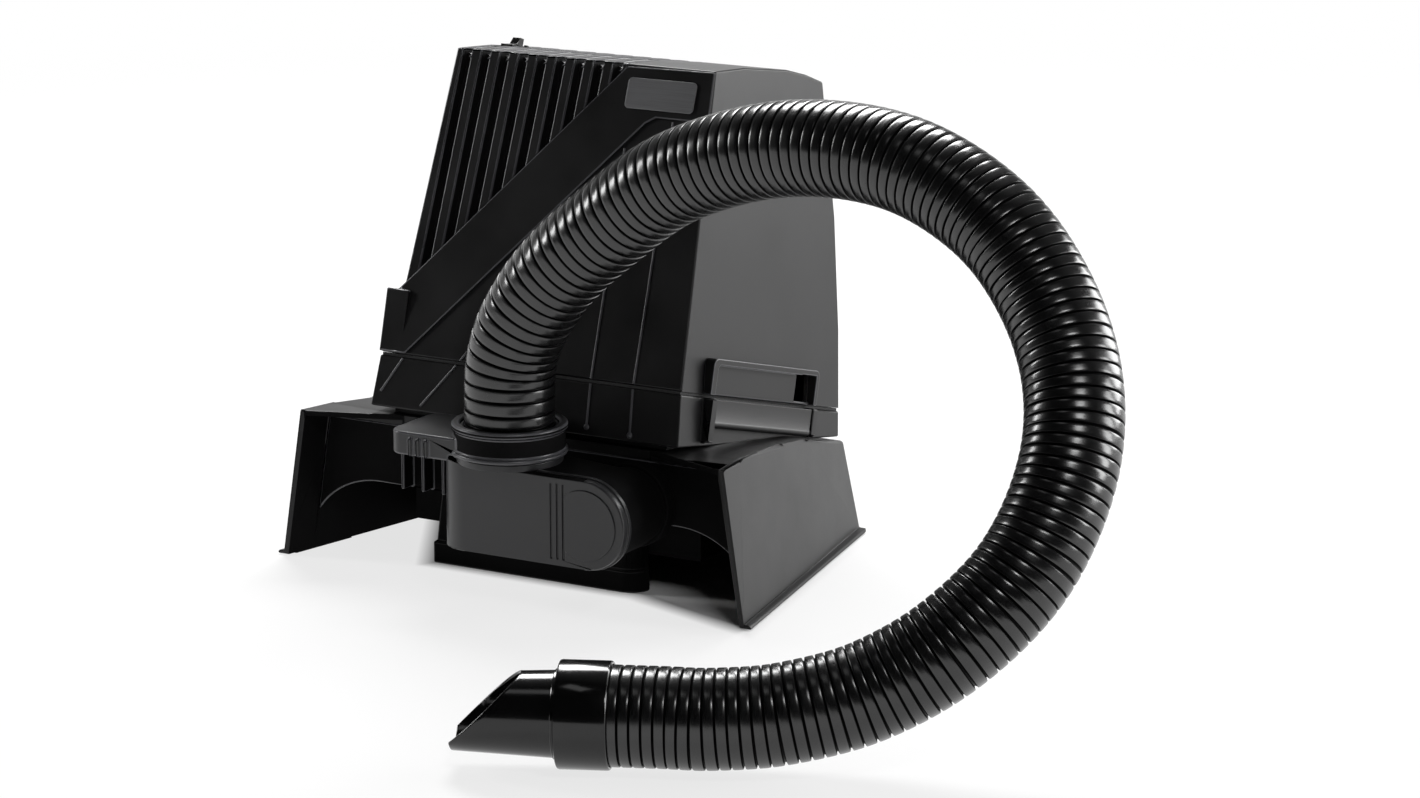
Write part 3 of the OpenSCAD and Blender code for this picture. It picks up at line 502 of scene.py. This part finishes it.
def ring_axes(centres):
    """Two directions square to the path at each point: one from crossing Y with the run, the other from
    crossing the run with that."""
    run = np.gradient(centres, axis=0)
    run /= np.linalg.norm(run, axis=1, keepdims=True)
    side = np.cross([0.0, 1.0, 0.0], run)
    side /= np.linalg.norm(side, axis=1, keepdims=True)
    return side, np.cross(run, side)


def ribbed_tube(path, radius, depth, ribs, bore, sides=44):
    """Ribbed hose wall. On each rib the outer radius follows a flat-topped wave: full over most of the pitch
    and down by the depth in a narrow round groove. The inner wall runs back at the bore radius and closes
    the ends. The ribs lie where the running sum of one over their pitch counts them."""
    _, total = at_lengths(path, np.zeros(1))
    wave = np.array([0.0, 0.04, 0.075, 0.11, 0.18, 0.34, 0.66, 0.82, 0.89, 0.925, 0.96])
    drop = np.array([1.0, 0.93, 0.5, 0.1, 0.018, 0.0, 0.0, 0.018, 0.1, 0.5, 0.93])
    count = np.concatenate([(np.arange(ribs)[:, None] + wave[None]).ravel(), [ribs]])
    depths = np.concatenate([np.tile(drop, ribs), [1.0]])
    inner_count = np.linspace(ribs, 0, ribs + 1)
    count_all = np.concatenate([count, inner_count])
    radii = np.concatenate([radius - depth * depths, np.full(len(inner_count), bore)])
    table = np.linspace(0, total, 1200)
    counted = np.concatenate([[0], np.cumsum(1 / np.interp(table[1:], RIB_PITCH[:, 0], RIB_PITCH[:, 1]))])
    places = np.interp(count_all / ribs, counted / counted[-1], table)
    smooth, _ = at_lengths(path, table)
    side, up = ring_axes(smooth)
    centre, side, up = (np.stack([np.interp(places, table, a[:, k]) for k in range(3)], -1)
                        for a in (smooth, side, up))
    angle = np.linspace(0, 2 * np.pi, sides, endpoint=False)
    ring = side[:, None] * np.cos(angle)[None, :, None] + up[:, None] * np.sin(angle)[None, :, None]
    points = centre[:, None] + radii[:, None, None] * ring
    uv = np.stack(np.broadcast_arrays(count_all[:, None], (angle / (2 * np.pi))[None]), -1)
    return points, uv, smooth, total


def turned_shell(profile, sides=72):
    """Solid of revolution about X: a closed outline of (x, radius) carried round the axis."""
    angle = np.linspace(0, 2 * np.pi, sides, endpoint=False)
    x = np.broadcast_to(profile[:, None, 0], (len(profile), sides))
    return np.stack([x, profile[:, None, 1] * np.cos(angle), profile[:, None, 1] * np.sin(angle)], -1)


def nozzle_to_bench(points):
    """Nozzle frame to bench frame: turn about Z and move to the cuff."""
    c, s = math.cos(NOZZLE_TURN), math.sin(NOZZLE_TURN)
    x = points[..., 0] * c - points[..., 1] * s
    y = points[..., 0] * s + points[..., 1] * c
    return np.stack([x, y, points[..., 2]], -1) + NOZZLE_AT


def raised_line(route, out_of, width, height, sides=8, sunk=0.3):
    """Half-round bead: a half ellipse, width across and height out of the face, carried along a route on
    the face and sunk a little into it."""
    run = np.gradient(route, axis=0)
    run /= np.linalg.norm(run, axis=1, keepdims=True)
    across = np.cross(out_of, run)
    angle = np.linspace(0, np.pi, sides)
    arc = np.stack([np.cos(angle) * width / 2, np.sin(angle) * height], -1)
    arc = np.vstack([arc, [[-width / 2, -sunk], [width / 2, -sunk]]])
    rise = np.asarray(out_of)[None, None] * arc[None, :, 1:]
    return route[:, None] + across[:, None] * arc[None, :, :1] + rise


def dome(centre, out_of, radius, height, rings=7, sides=28, sunk=0.4):
    """Low dome: a quarter ellipse carried round the direction it stands in, closed at its top and sunk
    a little."""
    out_of = np.asarray(out_of, float)
    side = np.cross(out_of, [1.0, 0.0, 0.0])
    side /= np.linalg.norm(side)
    up = np.cross(out_of, side)
    lift = np.linspace(0, np.pi / 2, rings)
    level = np.concatenate([[-sunk, -sunk], height * np.sin(lift)])
    reach = np.concatenate([[0.0, radius], radius * np.cos(lift)])
    angle = np.linspace(0, 2 * np.pi, sides, endpoint=False)
    ring = side * np.cos(angle)[:, None] + up * np.sin(angle)[:, None]
    return np.asarray(centre) + reach[:, None, None] * ring[None] + level[:, None, None] * out_of


def screw_head(flat, across, up, sides=32):
    """Pan head on the back panel: a low dome from its rim, dished in the middle for the driver, turned
    about its axis."""
    reach = np.array([0.0, 3.0, 3.1, 2.9, 2.4, 1.7, 1.2, 1.1, 0.7, 0.0])
    lift = np.array([0.9, 0.9, 1.5, 2.0, 2.35, 2.5, 2.5, 1.7, 1.4, 1.4])
    angle = np.linspace(0, 2 * np.pi, sides, endpoint=False)
    x = across + reach[:, None] * np.cos(angle)
    z = up + reach[:, None] * np.sin(angle)
    return back_to_bench(x, np.broadcast_to(lift[:, None], x.shape), z, *flat)


def flat_pin(flat, across, up, half_width=1.0, half_height=3.0, sides=28):
    """Mains pin: a flat rounded section, the superellipse |x|^4 + |z|^4 = 1 stretched to its half width and
    half height, carried out and rounded off at its tip."""
    out = np.array([-11.2, -11.2, -4.2, -3.4, -2.9, -2.7, -2.7])
    size = np.array([0.0, 1.0, 1.0, 0.9, 0.7, 0.4, 0.0])
    angle = np.linspace(0, 2 * np.pi, sides, endpoint=False)
    c, s = np.cos(angle), np.sin(angle)
    x = across + size[:, None] * half_width * np.sign(c) * np.sqrt(np.abs(c))
    z = up + size[:, None] * half_height * np.sign(s) * np.sqrt(np.abs(s))
    return back_to_bench(x, np.broadcast_to(out[:, None], x.shape), z, *flat)


def unit_depth_at(height):
    """Depth of the unit's low back at a height above the parting plane."""
    return LOW_BACK - (height - 1) * LOW_BACK_SLOPE


def join_grids(name, grids):
    """One mesh from several grids of points in mm, each closed round its columns and capped at its ends."""
    work = bmesh.new()
    for points in grids:
        part = grid_mesh(name, points)
        work.from_mesh(part)
        bpy.data.meshes.remove(part)
    open_edges = [edge for edge in work.edges if edge.is_boundary]
    bmesh.ops.holes_fill(work, edges=open_edges)
    bmesh.ops.recalc_face_normals(work, faces=work.faces)
    mesh = bpy.data.meshes.new(name)
    work.to_mesh(mesh)
    work.free()
    smooth_by_angle(mesh)
    return mesh


def area_lamp(name, place, target, width, height, power):
    """Soft rectangular lamp at a place, turned to face its target."""
    light = bpy.data.lights.new(name, "AREA")
    light.shape = "RECTANGLE"
    light.size = width
    light.size_y = height
    light.energy = power
    lamp = bpy.data.objects.new(name, light)
    lamp.location = place
    away = Vector(place) - Vector(target)
    lamp.rotation_euler = away.to_track_quat("Z", "Y").to_euler()
    bpy.context.scene.collection.objects.link(lamp)


def seen_directly(tree):
    """1 for rays from the camera, off a mirror-like surface or through glass, and 0 for other light."""
    path = tree.nodes.new("ShaderNodeLightPath").outputs
    mirrored = joined(tree, "MAXIMUM", path["Is Glossy Ray"], path["Is Transmission Ray"])
    return joined(tree, "MAXIMUM", path["Is Camera Ray"], mirrored)


def beyond(tree, place, start, end):
    """Distance to the right of a line on the floor, seen along it from start to end."""
    start, end = np.array(start) * MM, np.array(end) * MM
    along = (end - start) / np.linalg.norm(end - start)
    right = np.array([along[1], -along[0], 0])
    reach = tree.nodes.new("ShaderNodeVectorMath")
    reach.operation = "DOT_PRODUCT"
    reach.inputs[1].default_value = right
    tree.links.new(place, reach.inputs[0])
    return joined(tree, "SUBTRACT", reach.outputs["Value"], float(right[:2] @ start))


def clear_of_stand(tree, place):
    """0 on the floor under the stand, 1 a little way outside it."""
    left_front, right_front, right_tip = (-78, -62), (78, -62), (173, -95)
    right_back, left_back, left_side = (127, 143), (-127, 143), (-129, 25)
    middle = beyond(tree, place, left_front, right_front)
    wing = beyond(tree, place, right_front, right_tip)
    right = beyond(tree, place, right_tip, right_back)
    back = beyond(tree, place, right_back, left_back)
    left = beyond(tree, place, left_side, left_front)
    sides = joined(tree, "MAXIMUM", right, left)
    ends = joined(tree, "MAXIMUM", joined(tree, "MINIMUM", middle, wing), back)
    return spread(tree, joined(tree, "MAXIMUM", sides, ends), 0.0, 1.0, -0.004, 0.012)


def brow_edge(top, side, place):
    """Along the wings: between an upward face and one that looks outwards."""
    return top.z > 0.6 and side.x * place.x > 0 and abs(side.x) > 0.5


def duct_rim(front, side, place):
    """Round the face of the elbow, but not along the ring within its round end."""
    round_end = place.x > HUB_X and math.hypot(place.x - HUB_X, place.z - HUB_Z) > FACE_HALF
    outer = place.x < FACE_LEFT or abs(place.z - HUB_Z) > FACE_HALF or round_end
    return front.y < -0.9 and place.y < FACE_Y and abs(side.y) < 0.6 and outer


def scoop_radius(x):
    """Outer radius of the scoop at a distance from the cuff's face: it narrows evenly."""
    return 24.6 - 2.6 * (x - 9.9) / 59.6


def cut_scoop(sides=96, wall=2.2, root_end=12.0):
    """Scoop about X: a narrowing tube with a stepped root, cut on a slant, its cut edge a half circle.
    Round the tube the cut lies 29 mm out at the top and further out with the drop below the top, at first
    a little faster than one to one, up to 69.5 mm. The drop hangs on the radius there, so it is repeated."""
    angle = np.linspace(0, 2 * np.pi, sides, endpoint=False)
    tip = np.full(sides, 60.0)
    for _ in range(12):
        drop = np.maximum(25.6 - scoop_radius(tip) * np.sin(angle), 0)
        tip = np.minimum(29 + drop * (0.9975 + 0.24 * np.exp(-drop / 13)), 69.5)
    share = np.linspace(0, 1, 18)
    half = wall / 2
    outer_x = root_end + (tip[None] - half - root_end) * share[:, None]
    outer_r = scoop_radius(outer_x)
    lip = np.linspace(np.pi / 2, -np.pi / 2, 9)[1:-1]
    lip_x = tip[None] - half + half * np.cos(lip)[:, None]
    lip_r = scoop_radius(tip)[None] - half + half * np.sin(lip)[:, None]
    ones = np.ones(sides)
    root = np.array([[0.999, 20.2], [1, 21.5], [1.4, 21.92], [9.9, 21.92], [9.9, 24.9], [10.2, 25.4],
                     [11.4, 25.4], [11.8, 25.1], [root_end, 24.55]])
    back = np.array([[11.9, 22.2], [11.9, 19.4], [1.3, 19.4]])
    x = np.vstack([root[:, :1] * ones, outer_x, lip_x, outer_x[::-1], back[:, :1] * ones])
    r = np.vstack([root[:, 1:] * ones, outer_r, lip_r, outer_r[::-1] - wall, back[:, 1:] * ones])
    return np.stack([x, r * np.cos(angle), r * np.sin(angle)], -1)


class FUME_OT_stage(Operator):
    """Camera at the photograph's view, pale floor, white surroundings and soft lamps"""

    bl_idname = "fume.stage"
    bl_label = "Studio"

    def execute(self, context):
        scene = context.scene
        scene.view_settings.view_transform = "Standard"
        flat = math.cos(VIEW_RISE)
        back = np.array([math.sin(VIEW_TURN) * flat, -math.cos(VIEW_TURN) * flat, math.sin(VIEW_RISE)])
        lens = bpy.data.cameras.new("camera")
        lens.lens = VIEW_LENS
        lens.sensor_width = 36
        lens.clip_end = 100
        camera = bpy.data.objects.new("camera", lens)
        camera.location = (VIEW_AIM + back * VIEW_AWAY) * MM
        camera.rotation_euler = Vector(back).to_track_quat("Z", "Y").to_euler()
        scene.collection.objects.link(camera)
        scene.camera = camera

        span = np.linspace(-14000, 14000, 9)
        across, along = np.meshgrid(span, span, indexing="ij")
        ground = grid_mesh("floor", np.stack([across, along, np.zeros_like(across)], -1), wrap_cols=False)
        floor = bpy.data.objects.new("floor", ground)
        scene.collection.objects.link(floor)
        ground.flip_normals()
        material, tree, shader, place = start_material("studio_floor")
        tone = spread(tree, add_noise(tree, place, 3.0), 0, 1)
        paper = colours().floor
        tree.links.new(two_tone(tree, tone, shade(paper, 0.985), paper), shader.inputs["Base Color"])
        shader.inputs["Roughness"].default_value = 0.9
        shader.inputs["Specular IOR Level"].default_value = 0.1
        glow = tree.nodes.new("ShaderNodeEmission")
        mix = tree.nodes.new("ShaderNodeMixShader")
        reach = tree.nodes.new("ShaderNodeVectorMath")
        reach.operation = "LENGTH"
        tree.links.new(place, reach.inputs[0])
        paler = spread(tree, reach.outputs["Value"], 0.76, 1.0, 0.5, 2.2)
        share = joined(tree, "MULTIPLY", seen_directly(tree), paler)
        tree.links.new(joined(tree, "MULTIPLY", share, clear_of_stand(tree, place)), mix.inputs["Fac"])
        tree.links.new(shader.outputs["BSDF"], mix.inputs[1])
        tree.links.new(glow.outputs["Emission"], mix.inputs[2])
        tree.links.new(mix.outputs["Shader"], tree.nodes["Material Output"].inputs["Surface"])
        ground.materials.append(material)

        world = bpy.data.worlds.new("surroundings")
        world.use_nodes = True
        scene.world = world
        sky = world.node_tree
        looking = sky.nodes.new("ShaderNodeTexCoord")
        split = sky.nodes.new("ShaderNodeSeparateXYZ")
        sky.links.new(looking.outputs["Generated"], split.inputs["Vector"])
        low = spread(sky, split.outputs["Z"], 1.0, 0.14, 0.04, 0.26)
        behind = spread(sky, split.outputs["Y"], 0.03, 1.0, -0.1, 0.35)
        sky.nodes["Background"].inputs["Color"].default_value = (1, 1, 1, 1)
        sky.links.new(joined(sky, "MULTIPLY", low, behind), sky.nodes["Background"].inputs["Strength"])

        area_lamp("back_right_softbox", (1.5, 2.1, 0.75), (0.05, 0, 0.12), 1.5, 1.1, 44)
        area_lamp("back_top_softbox", (-0.6, 1.2, 1.8), (0, 0, 0.15), 1.4, 0.9, 70)
        area_lamp("right_softbox", (2.2, 0.7, 0.6), (0.1, -0.1, 0.15), 0.7, 1.0, 20)
        area_lamp("front_softbox", (1.4, -1.2, 1.6), (0.2, -0.2, 0.2), 0.55, 0.35, 8)
        area_lamp("left_softbox", (-1.9, -0.6, 0.85), (0.05, -0.1, 0.2), 0.35, 0.7, 13)
        area_lamp("top_softbox", (0.1, -0.9, 1.65), (0.3, -0.35, 0.03), 0.5, 0.25, 0.4)
        return {"FINISHED"}


class FUME_OT_hose(Operator):
    """Ribbed hose from its seat in the neck, over and down to the nozzle on the bench"""

    bl_idname = "fume.hose"
    bl_label = "Hose"

    def execute(self, context):
        size = sizes()
        path = along_spline(HOSE_ROUTE, 10)
        points, uv, centres, total = ribbed_tube(path, size.hose_radius / MM, size.groove_depth / MM,
                                                 size.hose_ribs, HOSE_BORE)
        mesh = grid_mesh("ribbed_hose", points, wrap_rows=True, uv=uv)
        hose = bpy.data.objects.new("ribbed_hose", mesh)
        context.scene.collection.objects.link(hose)
        mesh.materials.append(hose_plastic())
        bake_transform(hose, "elbow", "base", start=np.array([16, -115, 125]) * MM,
                 end=np.array([164.6, -337.9, 199.3]) * MM)
        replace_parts(hose, "hose")
        return {"FINISHED"}


class FUME_OT_nozzle(Operator):
    """Cuff on the hose end and the scoop nozzle that turns in it"""

    bl_idname = "fume.nozzle"
    bl_label = "Cuff and nozzle"

    def execute(self, context):
        gloss = gloss_plastic()
        cuff = np.array([[-20, 28.85], [-20, 29.9], [-19.5, 30.4], [-18.6, 30.6], [-6, 30.6], [8.2, 30.6],
                         [9.1, 30.3], [9.5, 29.6], [9.5, 22.9], [9.3, 22.2], [8.8, 22], [0.6, 22],
                         [0.3, 22.2], [0.3, 28.85]])
        mesh = grid_mesh("turned_cuff", nozzle_to_bench(turned_shell(cuff)), wrap_rows=True)
        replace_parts(finish_piece(mesh, "turned_cuff", "base", gloss), "nozzle_cuff")

        mesh = grid_mesh("scoop_nozzle", nozzle_to_bench(cut_scoop()), wrap_rows=True)
        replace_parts(finish_piece(mesh, "scoop_nozzle", "scoop", gloss), "nozzle")
        return {"FINISHED"}


class FUME_OT_stand(Operator):
    """Flared stand, its inner wall, the tub at its front, feet, screws and the air box inside"""

    bl_idname = "fume.stand"
    bl_label = "Stand"

    def execute(self, context):
        body = body_plastic()
        edge = sizes().shell_edge
        # Painted highlight: the lighter plastic on the rounded strips of the inner wall
        rim = painted_highlight_plastic()
        shell = soft_edged("stand_shell", "base", body, 0.6 * edge, segments=4, angle=30,
                           wide=2.2 * MM, is_wide=brow_edge)
        # Painted shade: the darker copy goes on the shell's downward and inward faces, the inner wall, the
        # tub, the flange and the air box; the tub's rounded strips stay in the body plastic
        shade_paint = painted_shade_plastic()
        middles, facing = faces_of(shell.data)
        second_finish(shell.data, shade_paint, (facing[:, 2] < -0.3) | (facing[:, 0] * middles[:, 0] < -0.02))
        soft_edged("stand_wall", "base", shade_paint, 0.7 * edge, rim=rim)
        soft_edged("front_tray", "base", shade_paint, edge, rim=body)
        soft_edged("spigot_flange", "base", shade_paint, 0.6 * edge)
        rubber = speckled("foot_rubber", (0.006, 0.006, 0.006), (0.016, 0.016, 0.017), 700, 0.8, 0, 0.5, 0.1)
        soft_edged("rubber_feet", "base", rubber, 0.5 * MM)
        steel = turned_metal("steel", (0.42, 0.43, 0.45), (0.62, 0.63, 0.65), 0.32)
        paint("stand_screws", steel)
        paint("spigot_ring", steel)
        paint("intake_plenum", shade_paint)
        paint("inlet_spigot", elbow_plastic())
        return {"FINISHED"}


class FUME_OT_housing(Operator):
    """Lower and upper housing with the grips, latches and the foam between them"""

    bl_idname = "fume.housing"
    bl_label = "Housing"

    def execute(self, context):
        body = made("body_plastic")
        steel = made("steel")
        # Painted highlight: the lighter plastic on the grips' rounded strips
        rim = made("painted_highlight_plastic")
        edge = sizes().shell_edge
        trim = sizes().trim_edge
        soft_edged("lower_housing", "base", body, edge)
        soft_edged("upper_housing", "upper_unit", body, edge)
        for side in ("left", "right"):
            soft_edged(side + "_grip", "upper_unit", body, trim, rim=rim)
            soft_edged(side + "_latch", side + "_latch_plate", body, trim)
            paint(side + "_latch_pin", steel)
        foam = speckled("gasket_foam", (0.012, 0.012, 0.012), (0.035, 0.035, 0.036), 1500, 0.9, 0, 0.8, 0.2)
        paint("parting_gasket", foam)
        return {"FINISHED"}


class FUME_OT_front(Operator):
    """Finned corner, slanting band, bare badge plate and the fine raised lines of the front"""

    bl_idname = "fume.front"
    bl_label = "Front"

    def execute(self, context):
        body = made("body_plastic")
        trim = sizes().trim_edge
        # Painted highlight: the lighter plastic on the rounded strips of fins and band and on all the raised
        # lines
        highlight_paint = made("painted_highlight_plastic")
        soft_edged("front_fins", "upper_unit", body, 2.0 * trim, angle=30, rim=highlight_paint)
        soft_edged("front_band", "upper_unit", body, 1.7 * trim, rim=highlight_paint)
        soft_edged("badge_plate", "upper_unit", badge_finish(), 0.5 * MM)

        width = sizes().trim_line / MM
        foot, tip = front_to_bench(np.zeros(2), np.zeros(2), np.array([0.0, 1.0]))
        upper_out = tip - foot
        upper_lines = [[[46.6, 1.6], [44.9, 60], [41.0, 149]], [[77.8, 1.6], [76.2, 60], [72.5, 168.5]],
                       [[-51.5, 1.6], [-41, 17], [39.5, 107.4]]]
        grids = [raised_line(front_to_bench(*on_route(line, 24), np.zeros(24)), upper_out, width, 0.7)
                 for line in upper_lines]
        mesh = join_grids("front_lines", grids)
        finish_piece(mesh, "front_lines", "upper_unit", highlight_paint)

        lower_out = unit_to_bench(np.array([0.0, -1, 0])) - PART_LINE
        lower_lines = [[[46.8, -1.6], [47.8, -29]], [[77.9, -1.6], [79.6, -30.5]],
                       [[-53.8, -1.6], [-77, -30.5]], [[-94.8, -1.6], [-108.5, -24.5]]]
        grids = [raised_line(low_front(*on_route(line, 12)), lower_out, width, 0.7) for line in lower_lines]
        grids += [dome(low_front(np.array(end[-1][0]), np.array(end[-1][1])), lower_out, 2.0, 1.1)
                  for end in lower_lines[:2]]
        mesh = join_grids("low_front_lines", grids)
        finish_piece(mesh, "low_front_lines", "base", highlight_paint)
        return {"FINISHED"}


class FUME_OT_back(Operator):
    """Back panel with its grille, the mains inlet and the switch on the roof"""

    bl_idname = "fume.back"
    bl_label = "Back and switch"

    def execute(self, context):
        body = made("body_plastic")
        trim = sizes().trim_edge
        soft_edged("rear_panel", "upper_unit", body, 0.3 * MM)
        soft_edged("exhaust_grille", "upper_unit", body, 0.5 * trim)
        soft_edged("power_inlet", "upper_unit", made("gloss_plastic"), trim)
        soft_edged("switch_bezel", "upper_unit", body, 0, wide=0.5 * trim,
                   is_wide=outer_edges)
        soft_edged("power_switch", "rocker", made("gloss_plastic"), 0, wide=0.5 * trim,
                   is_wide=outer_edges)

        steel = made("steel")
        panel = (199.2, 89.15), math.atan2(15, 73.3)
        grids = [screw_head(panel, across, up) for across in (-69, 69) for up in (-28, 28)]
        finish_piece(join_grids("panel_screws", grids), "panel_screws", "upper_unit", steel)
        inlet = (unit_depth_at(26.0), 26.0), math.atan(LOW_BACK_SLOPE)
        grids = [flat_pin(inlet, across, up) for across, up in ((-67, -2), (-60, 2.5), (-53, -2))]
        finish_piece(join_grids("inlet_pins", grids), "inlet_pins", "upper_unit", steel)
        return {"FINISHED"}


class FUME_OT_elbow(Operator):
    """Swivelling elbow, its neck and the clamping collar with its tab"""

    bl_idname = "fume.elbow"
    bl_label = "Elbow and collar"

    def execute(self, context):
        satin = made("elbow_plastic")
        duct = soft_edged("elbow_duct", "elbow", satin, 0.4 * MM, angle=30,
                          wide=sizes().elbow_edge, is_wide=duct_rim)
        middles, _ = faces_of(duct.data)
        # Painted shade: the duct behind its face plate takes the darker copy of the plastic
        second_finish(duct.data, made("painted_shade_plastic"), middles[:, 1] > PLATE_BACK)
        soft_edged("elbow_cap", "elbow", satin, 0.5 * MM)
        soft_edged("hose_neck", "elbow", satin, sizes().trim_edge)
        # The collar's rounded strips take the lighter plastic as a painted highlight, and its round wall
        # takes the darker copy as painted shade
        collar = soft_edged("hose_collar", "collar", satin, 1.4 * MM,
                            rim=made("painted_highlight_plastic"))
        middles, _ = faces_of(collar.data)
        away = middles - np.array(COLLAR_AT, np.float32)
        round_wall = (np.hypot(away[:, 0], away[:, 1]) < COLLAR_WALL) & (abs(away[:, 2]) < COLLAR_HALF)
        second_finish(collar.data, made("painted_shade_plastic"), round_wall)
        return {"FINISHED"}


class FUME_OT_inside(Operator):
    """Filters, fan, motor and board inside the unit"""

    bl_idname = "fume.inside"
    bl_label = "Inside"

    def execute(self, context):
        pad = speckled("filter_pad", (0.16, 0.17, 0.18), (0.34, 0.35, 0.37), 420, 0.92, 0, 0.9, 0.4)
        card = speckled("filter_card", (0.52, 0.47, 0.37), (0.68, 0.63, 0.52), 300, 0.85, 0, 0.4, 0.1)
        sheet = speckled("filter_sheet", (0.74, 0.72, 0.66), (0.86, 0.85, 0.8), 600, 0.9, 0, 0.4, 0.1)
        carbon = speckled("carbon", (0.004, 0.004, 0.004), (0.03, 0.03, 0.03), 260, 0.7, 0, 1.0, 1.0)
        zinc = speckled("zinc_sheet", (0.36, 0.37, 0.39), (0.52, 0.53, 0.55), 45, 0.4, 1, 0.2, 0.05)
        cast = speckled("motor_metal", (0.16, 0.16, 0.17), (0.26, 0.26, 0.27), 500, 0.5, 1, 0.4, 0.1)
        green = speckled("board", (0.008, 0.07, 0.025), (0.014, 0.11, 0.04), 160, 0.4, 0, 0.2, 0.05)
        body = made("body_plastic")
        steel = made("steel")
        for node, finish in (
                ("prefilter_pad", pad), ("filter_frame", card), ("filter_media", sheet),
                ("carbon_bed", carbon), ("fan_deck", zinc), ("fan_scroll", body), ("motor_plate", zinc),
                ("motor", cast), ("motor_shaft", steel), ("impeller", body), ("control_board", green)):
            paint(node, finish)
        return {"FINISHED"}


class FUME_PT_pieces(Panel):
    """Lists the pieces with their sizes and colours"""

    bl_idname = "FUME_PT_pieces"
    bl_label = "Fume Extractor"
    bl_space_type = "VIEW_3D"
    bl_region_type = "UI"
    bl_category = "Fume Extractor"

    def draw(self, context):
        for group in (context.scene.fume_sizes, context.scene.fume_colours):
            box = self.layout.box()
            for name in group.__annotations__:
                box.prop(group, name)
        for operator in PIECES:
            self.layout.operator(operator.bl_idname)


PIECES = (FUME_OT_stage, FUME_OT_nozzle, FUME_OT_hose, FUME_OT_stand, FUME_OT_housing, FUME_OT_front,
          FUME_OT_back, FUME_OT_elbow, FUME_OT_inside)
CLASSES = (FumeSizes, FumeColours, *PIECES, FUME_PT_pieces)


def register():
    for each in CLASSES:
        bpy.utils.register_class(each)
    bpy.types.Scene.fume_sizes = PointerProperty(type=FumeSizes)
    bpy.types.Scene.fume_colours = PointerProperty(type=FumeColours)


def unregister():
    del bpy.types.Scene.fume_colours
    del bpy.types.Scene.fume_sizes
    for each in reversed(CLASSES):
        bpy.utils.unregister_class(each)


def main():
    register()
    bpy.ops.fume.stage()
    bpy.ops.fume.nozzle()
    bpy.ops.fume.hose()
    bpy.ops.fume.stand()
    bpy.ops.fume.housing()
    bpy.ops.fume.front()
    bpy.ops.fume.back()
    bpy.ops.fume.elbow()
    bpy.ops.fume.inside()


if __name__ == "__main__":
    main()
